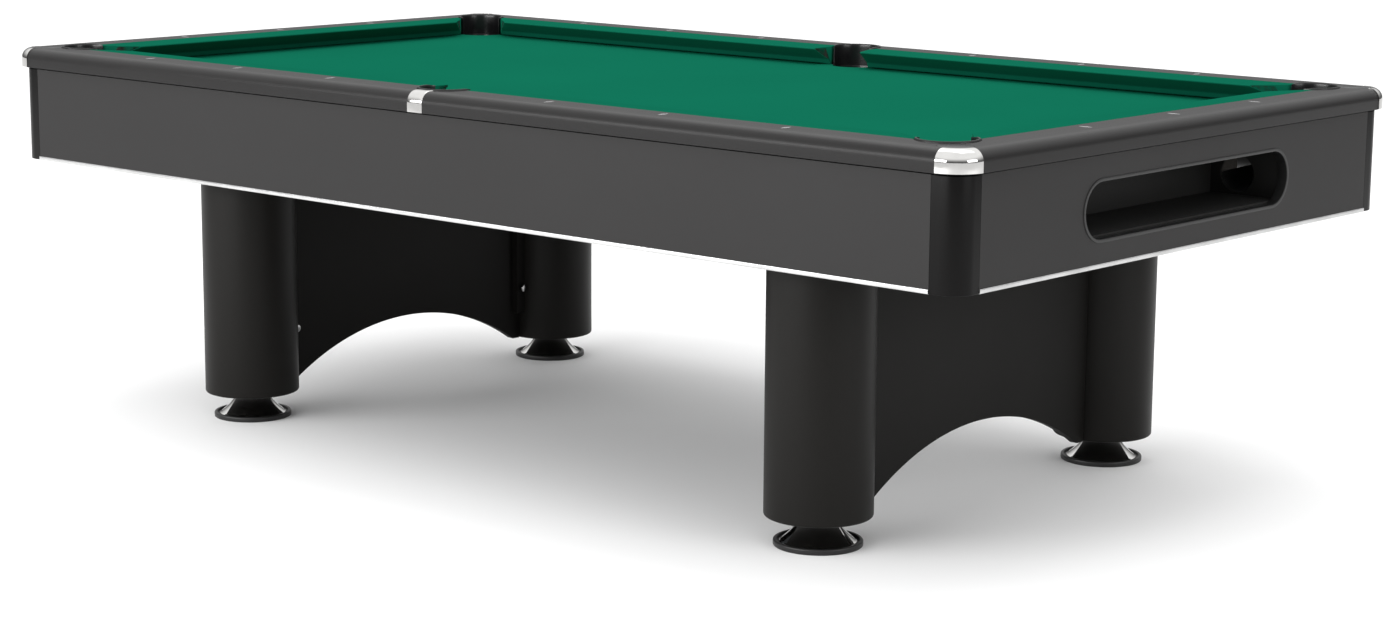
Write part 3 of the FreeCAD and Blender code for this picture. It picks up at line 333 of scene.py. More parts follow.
def mesh_from(name, surfaces, bevel=0.0, bevel_angle=50, up=False, sharp=38):
    """Joins surfaces in one mesh: a grid of points gives quads, a single row one face.

    Points that meet are welded and faces turned outwards.  An open sheet is turned so
    that its highest face looks up."""
    points = []
    faces = []
    first = 0
    for surface in surfaces:
        if surface.ndim == 2:
            faces.append(list(range(first, first + len(surface))))
        else:
            rows, columns = surface.shape[:2]
            corner = first + np.arange(rows - 1)[:, None] * columns + np.arange(columns - 1)
            quads = np.stack([corner, corner + 1, corner + columns + 1, corner + columns], -1)
            faces.extend(quads.reshape(-1, 4).tolist())
        points.append(surface.reshape(-1, 3))
        first += surface.size // 3
    mesh = bpy.data.meshes.new(name)
    mesh.from_pydata(np.concatenate(points).tolist(), [], faces)
    work = bmesh.new()
    work.from_mesh(mesh)
    bmesh.ops.remove_doubles(work, verts=work.verts, dist=1e-5)
    bmesh.ops.recalc_face_normals(work, faces=work.faces)
    if up:
        work.faces.ensure_lookup_table()
        top = max(work.faces, key=lambda face: face.calc_center_median().z)
        if top.normal.z < 0:
            bmesh.ops.reverse_faces(work, faces=work.faces)
    if bevel:
        edges = [edge for edge in work.edges
                 if edge.is_manifold and edge.calc_face_angle(0) > radians(bevel_angle)]
        bmesh.ops.bevel(work, geom=edges, offset=bevel, segments=3, profile=0.5,
                        affect="EDGES", clamp_overlap=True)
    work.to_mesh(mesh)
    work.free()
    mesh.shade_smooth()
    mesh.set_sharp_from_angle(angle=radians(sharp))
    return mesh


def piece(name, surfaces, finish, slot, replaced=(), body="table", **shaping):
    """A named piece of the table, on its body, in place of the plain solids it stands for."""
    mesh = mesh_from(name, surfaces, **shaping)
    mesh.materials.append(finish)
    item = bpy.data.objects.new(name, mesh)
    bpy.context.scene.collection.objects.link(item)
    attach(item, body)
    if replaced:
        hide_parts(*replaced)
    return item


def thicken(item, wall):
    """Gives an open sheet its thickness, on its inner side."""
    skin = item.modifiers.new("Wall", "SOLIDIFY")
    skin.thickness = wall
    skin.offset = -1.0


def refinish(finish, *nodes):
    """Puts a finish on nodes of the frame that keep their shape."""
    for name in nodes:
        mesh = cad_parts[name].data
        mesh.materials.clear()
        mesh.materials.append(finish)


# -------------------------------------------------------------------------- finishes


class Finish:
    """A material in the making, with short calls for the nodes that most of them share."""

    def __init__(self, name, **constants):
        self.material = bpy.data.materials.new(name)
        self.material.use_nodes = True
        self.tree = self.material.node_tree
        self.shader = self.tree.nodes["Principled BSDF"]
        for socket, value in constants.items():
            self.shader.inputs[socket.replace("_", " ")].default_value = value
        self.place = self.node("ShaderNodeTexCoord").outputs["Object"]

    def node(self, kind, **inputs):
        made = self.tree.nodes.new(kind)
        for name, value in inputs.items():
            self.feed(made.inputs[name.replace("_", " ")], value)
        return made

    def feed(self, socket, value):
        if isinstance(value, bpy.types.NodeSocket):
            self.tree.links.new(value, socket)
        else:
            socket.default_value = value

    def stretched(self, scale):
        """Object coordinates drawn out or squeezed along each axis."""
        return self.node("ShaderNodeMapping", Vector=self.place, Scale=scale).outputs[0]

    def noise(self, scale, detail=4.0, rough=0.55, place=None):
        made = self.node("ShaderNodeTexNoise", Vector=place or self.place, Scale=scale,
                         Detail=detail, Roughness=rough)
        return made.outputs["Fac"]

    def cells(self, scale, place=None):
        made = self.node("ShaderNodeTexVoronoi", Vector=place or self.place, Scale=scale)
        return made.outputs["Distance"]

    def span(self, value, first, last, start=0.3, stop=0.7):
        """Maps a pattern's middle range to the range from first to last."""
        made = self.node("ShaderNodeMapRange", Value=value)
        made.inputs["From Min"].default_value = start
        made.inputs["From Max"].default_value = stop
        made.inputs["To Min"].default_value = first
        made.inputs["To Max"].default_value = last
        return made.outputs[0]

    def mix(self, amount, first, last):
        """Blends two colours by a pattern."""
        made = self.node("ShaderNodeMix")
        made.data_type = "RGBA"
        self.feed(made.inputs[0], amount)
        for socket, value in ((made.inputs[6], first), (made.inputs[7], last)):
            if not isinstance(value, bpy.types.NodeSocket):
                value = (*value[:3], 1.0)
            self.feed(socket, value)
        return made.outputs[2]

    def shades(self, amount, base, dark, light):
        """Blends a colour from a darker to a lighter tone of itself."""
        base = np.array(base)
        return self.mix(amount, base * dark, np.minimum(base * light, 1.0))

    def bump(self, height, strength, depth, below=None):
        made = self.node("ShaderNodeBump", Height=height, Strength=strength, Distance=depth)
        if below:
            self.feed(made.inputs["Normal"], below)
        return made.outputs[0]

    def done(self, colour, roughness, normal=None):
        self.feed(self.shader.inputs["Base Color"], colour)
        self.feed(self.shader.inputs["Roughness"], roughness)
        if normal:
            self.feed(self.shader.inputs["Normal"], normal)
        return self.material


def felt(name, base, fibre):
    """Napped wool cloth: a fine fibre over a faint cloudy nap, with no shine."""
    f = Finish(name, Specular_IOR_Level=0.0)
    cloud = f.span(f.noise(2.2, 3.0), 0.0, 1.0)
    hair = f.noise(fibre, 3.0, 0.7, f.stretched((1.0, 2.4, 1.0)))
    weave = f.noise(fibre * 2.4, 2.0, 0.6)
    tone = f.shades(cloud, base, 0.965, 1.035)
    colour = f.mix(f.span(hair, 0.0, 0.30), tone, np.array(base) * 0.72)
    normal = f.bump(hair, 0.30, 0.0004, f.bump(weave, 0.25, 0.0003))
    return f.done(colour, f.span(hair, 0.86, 1.0), normal)


def laminate(name, base, rough, grain, pore=0.22, shine=0.5):
    """Black laminate pressed with a fine leathery grain that also dulls its gloss."""
    f = Finish(name, Specular_IOR_Level=shine)
    fine = f.cells(grain)
    small = f.noise(grain * 0.6, 5.0, 0.65)
    cloud = f.noise(5.0, 3.0)
    colour = f.shades(f.span(small, 0.0, 1.0), base, 0.78, 1.25)
    dull = f.node("ShaderNodeMath", Value=f.span(small, rough - 0.05, rough + 0.06))
    f.feed(dull.inputs[1], f.span(cloud, -0.015, 0.015))
    normal = f.bump(fine, pore, 0.0003, f.bump(small, 0.14, 0.0002))
    return f.done(colour, dull.outputs[0], normal)


def moulding(name, base, rough):
    """Satin black moulded plastic with a very fine texture and faint flow marks."""
    f = Finish(name, Specular_IOR_Level=0.35)
    fine = f.noise(1400.0, 3.0)
    flow = f.noise(28.0, 3.0, 0.6, f.stretched((1.0, 1.0, 0.3)))
    colour = f.shades(f.span(flow, 0.0, 1.0), base, 0.8, 1.3)
    return f.done(colour, f.span(fine, rough - 0.05, rough + 0.07), f.bump(fine, 0.06, 0.0002))


def polished(name, base):
    """Polished chrome with the faintest haze and hairlines."""
    f = Finish(name, Metallic=1.0)
    haze = f.noise(35.0, 4.0)
    hair = f.noise(600.0, 2.0, 0.5, f.stretched((1.0, 1.0, 9.0)))
    colour = f.shades(f.span(haze, 0.0, 1.0), base, 0.95, 1.05)
    return f.done(colour, f.span(haze, 0.045, 0.10), f.bump(hair, 0.015, 0.0001))


def brushed(name, base, rough, stretch):
    """Drawn or plated metal with streaks along its length."""
    f = Finish(name, Metallic=1.0)
    streak = f.noise(220.0, 4.0, 0.7, f.stretched(stretch))
    cloud = f.noise(18.0, 3.0)
    colour = f.shades(f.span(cloud, 0.0, 1.0), base, 0.88, 1.08)
    return f.done(colour, f.span(streak, rough - 0.07, rough + 0.09), f.bump(streak, 0.08, 0.0001))


def pearl(name, base):
    """Pearl inlay: milky bands under a glossy coat."""
    f = Finish(name, Specular_IOR_Level=0.6, Coat_Weight=0.5, Coat_Roughness=0.08)
    bands = f.noise(120.0, 5.0, 0.6, f.stretched((1.0, 0.35, 1.0)))
    colour = f.mix(f.span(bands, 0.0, 1.0), np.array(base) * 0.75, np.array(base) * (1.1, 1.12, 1.2))
    return f.done(colour, f.span(bands, 0.22, 0.36))


def board(name, base, chip):
    """Raw particle board with pale and dark chips."""
    f = Finish(name, Specular_IOR_Level=0.25)
    chips = f.cells(chip, f.stretched((0.6, 1.0, 1.0)))
    dust = f.noise(chip * 3.0, 4.0, 0.7)
    tone = f.shades(f.span(chips, 0.0, 1.0, 0.05, 0.7), base, 0.62, 1.18)
    colour = f.mix(f.span(dust, 0.0, 0.5), tone, np.array(base) * 0.8)
    return f.done(colour, f.span(dust, 0.75, 0.95), f.bump(chips, 0.2, 0.0004))


def stone(name, base):
    """Honed slate with faint cloudy bedding."""
    f = Finish(name, Specular_IOR_Level=0.35)
    bedding = f.noise(6.0, 6.0, 0.6, f.stretched((0.5, 1.0, 6.0)))
    grain = f.noise(700.0, 3.0, 0.6)
    colour = f.shades(f.span(bedding, 0.0, 1.0), base, 0.75, 1.2)
    return f.done(colour, f.span(grain, 0.55, 0.75), f.bump(grain, 0.15, 0.0003))


def gum(name, base):
    """Dull moulded rubber with a dusty bloom."""
    f = Finish(name, Specular_IOR_Level=0.3)
    bloom = f.noise(40.0, 4.0, 0.6)
    grit = f.noise(900.0, 3.0, 0.6)
    colour = f.shades(f.span(bloom, 0.0, 1.0), base, 0.8, 1.3)
    return f.done(colour, f.span(grit, 0.6, 0.8), f.bump(grit, 0.2, 0.0003))


def studio_floor(name, base):
    """A pale seamless floor with the faintest unevenness."""
    f = Finish(name, Specular_IOR_Level=0.15)
    cloud = f.noise(0.7, 3.0)
    return f.done(f.shades(f.span(cloud, 0.0, 1.0), base, 0.99, 1.01), f.span(cloud, 0.75, 0.85))


# ------------------------------------------------------ places that several pieces share


def rim_radius(p):
    """Radius that rails and cushions keep clear round a pocket's rim."""
    return p.bore + p.wall + FIT


def boot_hole(p):
    """Radius of the bed cloth's hole, round a pocket's boot."""
    return p.bore + p.boot_wall + BOOT_GAP


def corner_pocket(sx, sy, p):
    """Axis of a corner pocket, outside both nose lines."""
    return sx * (NOSE_X + p.corner_out), sy * (NOSE_Y + p.corner_out)


def side_pocket(sy, p):
    """Axis of a side pocket, outside the nose line."""
    return 0.0, sy * (NOSE_Y + p.side_out)


def corner_centre(sx, sy, r):
    """Centre of a corner's plan arc, which cap, post and liner share."""
    return (sx * (NOSE_X + RAIL_SPAN - r.corner_centre),
            sy * (NOSE_Y + RAIL_SPAN - r.corner_centre))


# ----------------------------------------------------------------- shapes of the sides


def cushion_end(kind, half, out, p):
    """How far along its side a cushion's end stands, at a distance out from the nose.

    It follows the straight facing as far as the throat, then the pocket's own circle:
    axis -/+ sqrt(radius squared - depth squared)."""
    radius = rim_radius(p)
    if kind == "corner":
        facing = half - p.corner_jaw + p.corner_slope * out
        depth = np.clip(out - p.corner_out, -radius, radius)
        circle = half + p.corner_out - np.sqrt(radius**2 - depth**2)
    else:
        facing = p.side_jaw - p.side_slope * out
        depth = np.clip(out - p.side_out, -radius, radius)
        circle = np.sqrt(radius**2 - depth**2)
    return np.where(out < p.throat, facing, circle)


def between_ends(side, first, last, out, p):
    """Both end positions along a side, for each distance out."""
    half = SIDES[side][2]
    ends = []
    for kind, sign in (first, last):
        ends.append(sign * cushion_end(kind, half, out, p))
    return ends


def wood_start(side, along, p, r):
    """Where a rail's wood starts: at the cloth's edge, or further out around a pocket."""
    radius = rim_radius(p)
    start = np.full(len(along), r.cloth_edge)
    reach = SIDES[side][2] + p.corner_out
    pockets = [(-reach, p.corner_out), (reach, p.corner_out)]
    if SIDES[side][0] == "x":
        pockets.append((0.0, p.side_out))
    for middle, out in pockets:
        depth = np.sqrt(np.clip(radius**2 - (along - middle)**2, 0.0, None))
        start = np.where(depth > 0, np.maximum(start, out + depth), start)
    # The disc on a corner's centre cuts the wood from the cusp where it meets the pocket.
    beside = rail_reach(side, r) - np.abs(along)
    depth = np.sqrt(np.clip(r.corner_disc**2 - beside**2, 0.0, None))
    beyond = np.abs(along) > SIDES[side][2] + corner_cusp(p, r)
    disc = RAIL_SPAN - r.corner_centre + depth
    return np.where(beyond & (depth > 0), np.maximum(start, disc), start)


def corner_cusp(p, r):
    """Where a corner pocket's circle and the corner's disc cross, along a rail.

    Both centres lie on the corner's diagonal, a distance d apart: the circles cross at
    a = (d^2 + R^2 - r^2) / 2d along it and h = sqrt(R^2 - a^2) to either side."""
    radius = rim_radius(p)
    apart = np.sqrt(2) * (RAIL_SPAN - r.corner_centre - p.corner_out)
    near = (apart**2 + radius**2 - r.corner_disc**2) / (2 * apart)
    beside = np.sqrt(radius**2 - near**2)
    return p.corner_out + (near - beside) / np.sqrt(2)


def rail_reach(side, r):
    """Half the length of a side's rails, between the centres of its two corners."""
    return SIDES[side][2] + RAIL_SPAN - r.corner_centre


def bull_nose(start, r, flat_rows=4, round_rows=14):
    """Out and height of a rail's top for each start: level to the knee, then a quarter
    circle, out = knee + R sin t and z = top - R (1 - cos t)."""
    knee = RAIL_SPAN - r.bull_nose
    near_edge = np.maximum(start, knee)
    t = np.linspace(0, 1, flat_rows)
    flat = start[:, None] * (1 - t) + near_edge[:, None] * t
    swing = np.arcsin((near_edge - knee) / r.bull_nose)[:, None]
    turn = swing + (pi / 2 - swing) * np.linspace(0, 1, round_rows)[1:]
    out = np.concatenate([flat, knee + r.bull_nose * np.sin(turn)], 1)
    drop = np.maximum(out - knee, 0.0) / r.bull_nose
    z = RAIL_TOP - r.bull_nose * (1 - np.sqrt(1 - np.minimum(drop, 1.0)**2))
    return out, z


def rail_samples(side, first, last, p, r):
    """Places along a rail, close together where a pocket's circle cuts into it."""
    radius = rim_radius(p)
    half = SIDES[side][2]
    limits = []
    dense = []
    for kind, sign in (first, last):
        middle = sign * (half + p.corner_out) if kind == "corner" else 0.0
        limits.append(sign * rail_reach(side, r) if kind == "corner" else sign * FIT)
        dense.append(middle + radius * np.cos(np.linspace(0, pi, 49)))
        edge = r.cloth_edge - (p.corner_out if kind == "corner" else p.side_out)
        dense.append(middle + np.sqrt(radius**2 - edge**2) * np.array([-1.0, 1.0]))
        if kind == "corner":
            disc = r.corner_disc * np.cos(np.linspace(0, pi / 2, 17))
            dense.append(sign * (rail_reach(side, r) - disc))
            dense.append(sign * (half + corner_cusp(p, r) + np.array([-0.00002, 0.00002])))
    even = np.linspace(min(limits), max(limits), 90)
    along = np.concatenate([even, *dense])
    along = along[(along >= min(limits)) & (along <= max(limits))]
    return np.unique(np.round(along, 6))


def rail_wood(side, first, last, p, r):
    """A rail: at each place along it, a closed loop of its section; and the sloping front
    that the rubber is glued to, drawn out between the cushion's two facings."""
    along = rail_samples(side, first, last, p, r)
    start = wood_start(side, along, p, r)
    out, z = bull_nose(start, r)
    foot = np.full(len(along), RAIL_SPAN)
    out = np.concatenate([start[:, None], out, foot[:, None]], 1)
    under = np.full((len(along), 1), BED_TOP)
    z = np.concatenate([under, z, under], 1)
    main = side_points(side, along[:, None], out, z)

    back = r.cloth_edge - 0.0001
    section = np.array([
        (FRONT_FOOT, BED_LOW),
        (FRONT_LIP, BED_TOP + FRONT_LIP_RISE),
        (FRONT_LEDGE, BED_TOP + FRONT_LEDGE_RISE),
        (FRONT_TOP, RAIL_TOP - FRONT_TOP_DROP),
        (back, RAIL_TOP - GROOVE_DROP),
        (back, BED_LOW),
    ])
    ends = between_ends(side, first, last, section[:, 0], p)
    t = np.linspace(0, 1, 2)[:, None]
    front = side_points(side, ends[0] * (1 - t) + ends[1] * t, section[:, 0], section[:, 1])
    return ring(main) + ring(front)


def cushion_section(c, r):
    """Heights of a cushion's top and underside over the same distances out.

    The nose is an arc that runs into the sloping top, and into the undercut face, which
    leads down to the ledge and on to the bed."""
    size = c.nose_round
    middle = RAIL_TOP - c.nose_drop
    edge = r.cloth_edge - FIT
    nose = size * (1 - np.cos(np.linspace(0, pi / 2, 8)))
    out = np.unique(np.concatenate([
        nose, np.linspace(size, edge, 16), [c.ledge_out, c.tuck_out]]))
    crown = middle + size
    top = np.where(out < size, middle + np.sqrt(np.clip(size**2 - (size - out)**2, 0, None)),
                   crown + (RAIL_TOP - crown) * (out - size) / (edge - size))
    # The undercut face leaves the nose's arc 57 degrees below its foremost point.
    leave_out = 0.458 * size
    leave_low = middle - 0.84 * size
    slope = (leave_low - BED_TOP - c.ledge_rise) / (c.ledge_out - leave_out)
    below = np.where(
        out < leave_out, middle - np.sqrt(np.clip(size**2 - (size - out)**2, 0, None)),
        BED_TOP + c.ledge_rise + slope * (c.ledge_out - out))
    fall = (c.ledge_rise - TUCK_RISE) / (c.tuck_out - c.ledge_out)
    below = np.where(out > c.ledge_out, BED_TOP + c.ledge_rise - fall * (out - c.ledge_out), below)
    below = np.maximum(below, BED_TOP + TUCK_RISE)
    return out, top, below


def cushion_cloth(side, first, last, c, p, r):
    """Cloth over a cushion's top and undercut face, folded round both its facings."""
    out, top, below = cushion_section(c, r)
    ends = between_ends(side, first, last, out, p)
    t = np.linspace(0, 1, 49)[:, None]
    along = ends[0] * (1 - t) + ends[1] * t
    upper = side_points(side, along, out, top)
    shown = out <= c.tuck_out + 1e-6
    lower = side_points(side, along[:, shown], out[shown], below[shown])
    surfaces = [upper, lower]
    height = np.linspace(0, 1, 7)[:, None]
    for end in ends:
        surfaces.append(side_points(side, end, out, top * (1 - height) + below * height))
    return surfaces


# ------------------------------------------------------------------ shapes of the bed


def bed_edge(x, p):
    """Half the bed cloth's width at each x: cut back by the circle of any pocket there."""
    hole = boot_hole(p)
    edge = np.full(len(x), CLOTH_Y)
    for middle, out in ((-NOSE_X - p.corner_out, p.corner_out), (0.0, p.side_out),
                        (NOSE_X + p.corner_out, p.corner_out)):
        depth = np.sqrt(np.clip(hole**2 - (x - middle)**2, 0.0, None))
        edge = np.where(depth > 0, np.minimum(edge, NOSE_Y + out - depth), edge)
    return edge


def bed_cloth(c, p):
    """The level cloth, between y = -edge(x) and edge(x), and a lip round each pocket that
    turns down on a quarter circle and hangs a little way inside."""
    hole = boot_hole(p)
    centres = [corner_pocket(sx, sy, p) for sx, sy in CORNERS.values()]
    centres += [side_pocket(-1, p), side_pocket(1, p)]
    arc = hole * np.cos(np.linspace(0, pi, 61))
    samples = [np.linspace(-CLOTH_X, CLOTH_X, 141)]
    samples += [x + arc for x, y in centres]
    half_chord = np.sqrt(hole**2 - (CLOTH_Y - NOSE_Y - p.side_out)**2)
    samples.append(np.array([-half_chord, half_chord]))
    x = np.unique(np.round(np.concatenate(samples), 6))
    x = x[np.abs(x) <= CLOTH_X]
    edge = bed_edge(x, p)
    level = np.stack(np.broadcast_arrays(
        x[:, None], edge[:, None] * np.linspace(-1, 1, 65), BED_TOP), -1)
    surfaces = [level]
    turn = np.linspace(0, pi / 2, 7)
    radius = np.concatenate([hole - c.lip_round * np.sin(turn), [hole - c.lip_round]])
    z = np.concatenate([BED_TOP - c.lip_round * (1 - np.cos(turn)), [BED_TOP - c.lip_drop]])
    for centre_x, centre_y in centres:
        sign = np.sign(centre_y)
        inside = (np.abs(x - centre_x) < hole) & (edge < CLOTH_Y - 1e-7)
        across = x[inside] - centre_x
        depth = -sign * np.sqrt(hole**2 - across**2)
        unit = np.stack([across, depth], -1)[:, None] / hole
        place = np.array([centre_x, centre_y]) + unit * radius[:, None]
        height = np.broadcast_to(z, place.shape[:2])[..., None]
        surfaces.append(np.concatenate([place, height], -1))
    return surfaces


# -------------------------------------------------------------- shapes of the pockets


def liner_rim(centre, facing_way, sweep, p):
    """A pocket's raised rim, an arc of a rounded wall whose two ears thin to a point.

    At angle t the wall's section is scaled by e(t), a smooth step over the last stretch
    before each end."""
    section = rounded([(0, 0), (1, 0), (1, 1), (0, 1)], [0, 0, 0.35, 0.2], 4, closed=True)
    t = np.linspace(-sweep, sweep, 121)
    ease = np.clip((sweep - np.abs(t)) / radians(22), 0, 1)
    ease = (ease * ease * (3 - 2 * ease))[:, None]
    wall = p.wall * (0.25 + 0.75 * ease)
    top = RIM_TOP - 0.0022 * (1 - ease)
    foot = BED_TOP - 0.005
    radius = p.bore + wall * section[:, 0]
    z = foot + (top - foot) * section[:, 1]
    turn = (facing_way + t)[:, None]
    loops = np.stack([centre[0] + radius * np.cos(turn), centre[1] + radius * np.sin(turn), z], -1)
    return ring(loops)


def liner_boot(centre, p):
    """The boot below the bed, a plain turned tube with rounded lips."""
    outer = p.bore + p.boot_wall
    foot = BED_TOP - 0.0045
    section = rounded([(p.bore, p.boot_low), (outer, p.boot_low), (outer, foot), (p.bore, foot)],
                      0.0012, 3, closed=True)
    return closed_ring(lathe(section, centre)[:-1])


def liner_funnel(centre, p):
    """A skew funnel: circles that slide toward the gully and shrink as they go down."""
    turn = np.linspace(0, 2 * pi, 73)[:-1, None]
    sign = np.sign(centre[1])
    t = np.concatenate([np.linspace(0, 1, 9), np.linspace(1, 0, 9)])
    grow = np.where(np.arange(18) < 9, p.boot_wall, 0.0)
    radius = p.bore + (p.funnel_radius - p.bore) * t + grow
    middle = centre[1] + (sign * p.funnel_y - centre[1]) * t
    z = p.boot_low + (FUNNEL_LOW - p.boot_low) * t
    loops = np.stack(np.broadcast_arrays(
        centre[0] + radius * np.cos(turn), middle + radius * np.sin(turn), z), -1)
    return closed_ring(loops)


def corner_block(corner, sx, sy, r):
    """The liner's corner: a quarter round inside the cap, and a round tongue toward the
    pocket between the two rails' ends."""
    inner = r.cap_inner - FIT
    disc = r.corner_disc - FIT
    start = np.arctan2(sy, sx) - pi / 4
    outline = rounded([(0, BED_TOP), (inner, BED_TOP), (inner, RAIL_TOP + 0.0004),
                       (0, RAIL_TOP + 0.0004)], [0, 0, 0.0012, 0], 3)
    tongue = rounded([(0, BED_TOP), (disc, BED_TOP), (disc, RAIL_TOP + 0.0003),
                      (0, RAIL_TOP + 0.0003)], [0, 0, 0.0008, 0], 3)
    return ring(lathe(outline, corner, start, start + pi / 2, 16)) + [lathe(tongue, corner)]


# -------------------------------------------------------------------------- operators


class Step:
    """What every operator of this panel shares."""

    bl_options = {"REGISTER", "UNDO"}


class PoolStage(Step, bpy.types.Operator):
    """Set out the floor, the lights and the camera"""

    bl_idname = "pool.stage"
    bl_label = "Stage"

    def execute(self, context):
        s = context.scene.pool_stage
        side = 0.5 * s.floor_size
        spread = np.linspace(-side, side, 9)
        ground = np.stack(np.broadcast_arrays(spread[:, None], spread, 0.0), -1)
        mesh = mesh_from("studio_floor", [ground], up=True)
        mesh.materials.append(studio_floor("studio_floor", s.floor_colour))
        floor = bpy.data.objects.new("studio_floor", mesh)
        context.scene.collection.objects.link(floor)
        self.lights(context.scene, s)
        self.camera(context.scene, s)
        return {"FINISHED"}

    def lights(self, scene, s):
        world = bpy.data.worlds.new("studio")
        world.use_nodes = True
        tree = world.node_tree
        background = tree.nodes["Background"]
        background.inputs["Color"].default_value = (1.0, 1.0, 1.0, 1.0)
        # The light grows from the horizon up, from sin(angle) = 0.06 to 0.62.
        place = tree.nodes.new("ShaderNodeTexCoord")
        split = tree.nodes.new("ShaderNodeSeparateXYZ")
        climb = tree.nodes.new("ShaderNodeMapRange")
        climb.interpolation_type = "SMOOTHSTEP"
        for name, value in (("From Min", 0.06), ("From Max", 0.62), ("To Min", s.wall_light),
                            ("To Max", s.sky_light)):
            climb.inputs[name].default_value = value
        tree.links.new(place.outputs["Generated"], split.inputs[0])
        tree.links.new(split.outputs["Z"], climb.inputs["Value"])
        tree.links.new(climb.outputs[0], background.inputs["Strength"])
        scene.world = world
        scene.view_settings.view_transform = "Standard"
        for name, power, size, place, aim in (
            ("key", s.key_light, (7.0, 1.4), (-1.5, -6.0, 1.9), (0.0, 0.0, 0.75)),
            ("end", s.side_light, (3.5, 1.4), (6.5, 0.0, 1.9), (0.8, 0.0, 0.75)),
            ("top", s.top_light, (4.5, 2.5), (0.0, 0.6, 4.2), (0.0, 0.0, 0.7)),
        ):
            lamp = bpy.data.lights.new(name, "AREA")
            lamp.shape = "RECTANGLE"
            lamp.size, lamp.size_y = size
            lamp.energy = power
            item = bpy.data.objects.new(name, lamp)
            look = Vector(aim) - Vector(place)
            item.matrix_world = (Matrix.Translation(place)
                                 @ look.to_track_quat("-Z", "Y").to_matrix().to_4x4())
            scene.collection.objects.link(item)

    def camera(self, scene, s):
        data = bpy.data.cameras.new("camera")
        data.lens = s.lens
        data.sensor_width = 36.0
        data.clip_end = 200.0
        item = bpy.data.objects.new("camera", data)
        item.matrix_world = (
            Matrix.Translation(s.camera_place)
            @ Matrix.Rotation(s.camera_turn, 4, "Z")
            @ Matrix.Rotation(pi / 2 - s.camera_dip, 4, "X")
            @ Matrix.Rotation(s.camera_roll, 4, "Z"))
        scene.collection.objects.link(item)
        scene.camera = item


class PoolBed(Step, bpy.types.Operator):
    """Stretch the bed cloth over the slate and fold it into the pockets"""

    bl_idname = "pool.bed"
    bl_label = "Bed cloth"

    def execute(self, context):
        c = context.scene.pool_cloth
        p = context.scene.pool_pockets
        finish = felt("bed_felt", c.bed_colour, 900.0)
        item = piece("bed_felt", bed_cloth(c, p), finish, "bed_cloth", ["bed_cloth"], up=True)
        thicken(item, c.wall)
        refinish(stone("honed_slate", (0.11, 0.12, 0.13)), "slate_bed")
        return {"FINISHED"}


class PoolCushions(Step, bpy.types.Operator):
    """Wrap each cushion in its cloth"""

    bl_idname = "pool.cushions"
    bl_label = "Cushions"

    def execute(self, context):
        c = context.scene.pool_cloth
        p = context.scene.pool_pockets
        r = context.scene.pool_rails
        finish = felt("cushion_felt", c.cushion_colour, 900.0)
        for label, (side, first, last) in RAILS.items():
            surfaces = cushion_cloth(side, first, last, c, p, r)
            name = "cushion_cloth_" + label
            item = piece("cushion_felt_" + label, surfaces, finish, "cushion_cloth", [name],
                         up=True, bevel=c.fold_round, bevel_angle=62)
            thicken(item, c.wall)
        refinish(gum("cushion_gum", (0.030, 0.026, 0.022)), "cushion_rubbers")
        return {"FINISHED"}


class PoolRails(Step, bpy.types.Operator):
    """Make the six rails with their bull-nosed outer edge"""

    bl_idname = "pool.rails"
    bl_label = "Rails"

    def execute(self, context):
        p = context.scene.pool_pockets
        r = context.scene.pool_rails
        finish = laminate("rail_laminate", r.laminate, 0.34, 900.0, pore=0.18, shine=0.17)
        for label, (side, first, last) in RAILS.items():
            piece("rail_wood_" + label, rail_wood(side, first, last, p, r), finish,
                  "rail_laminate", ["rail_" + label])
        return {"FINISHED"}


class PoolSights(Step, bpy.types.Operator):
    """Inlay the eighteen sights"""

    bl_idname = "pool.sights"
    bl_label = "Sights"

    def places(self, r):
        for side, (axis, sign, half, nose) in SIDES.items():
            starts = (-1, 0, 1)
            if axis == "x":
                starts = [s * (r.sight_start / r.sight_pitch + k) for s in (-1, 1) for k in range(3)]
            for start in starts:
                yield side, start * r.sight_pitch

    def execute(self, context):
        r = context.scene.pool_rails
        surfaces = []
        for side, along in self.places(r):
            outline = rounded([(-r.sight_wide / 2, 0), (0, -r.sight_long / 2),
                               (r.sight_wide / 2, 0), (0, r.sight_long / 2)],
                              0.0008, 4, closed=True)
            # The outline shrinks toward the middle as it rises to a slight crown.
            share = np.array([1.0, 1.0, 0.96, 0.5, 0.04])[:, None]
            rise = np.array([-0.0009, 0.0, 0.00012, 0.00018, 0.0002])[:, None]
            loops = side_points(side, along + share * outline[:, 0],
                                r.sight_out + share * outline[:, 1], RAIL_TOP + rise)
            surfaces += ring(loops)
        piece("sights", surfaces, pearl("pearl", r.sight_colour), "sights", ["rail_sights"])
        return {"FINISHED"}


class PoolLiners(Step, bpy.types.Operator):
    """Mould the six pocket liners"""

    bl_idname = "pool.liners"
    bl_label = "Pocket liners"

    def execute(self, context):
        p = context.scene.pool_pockets
        r = context.scene.pool_rails
        finish = moulding("liner_plastic", p.plastic, 0.26)
        for label, (sx, sy) in CORNERS.items():
            centre = corner_pocket(sx, sy, p)
            corner = corner_centre(sx, sy, r)
            surfaces = liner_rim(centre, np.arctan2(sy, sx), radians(121), p)
            surfaces += liner_boot(centre, p) + liner_funnel(centre, p)
            surfaces += corner_block(corner, sx, sy, r)
            piece("liner_" + label, surfaces, finish, "pocket_liner", ["pocket_liner_" + label])
        for label, sy in (("front_middle", -1), ("back_middle", 1)):
            centre = side_pocket(sy, p)
            surfaces = liner_rim(centre, sy * pi / 2, radians(109), p)
            surfaces += liner_boot(centre, p) + liner_funnel(centre, p)
            piece("liner_" + label, surfaces, finish, "pocket_liner", ["pocket_liner_" + label])
        return {"FINISHED"}


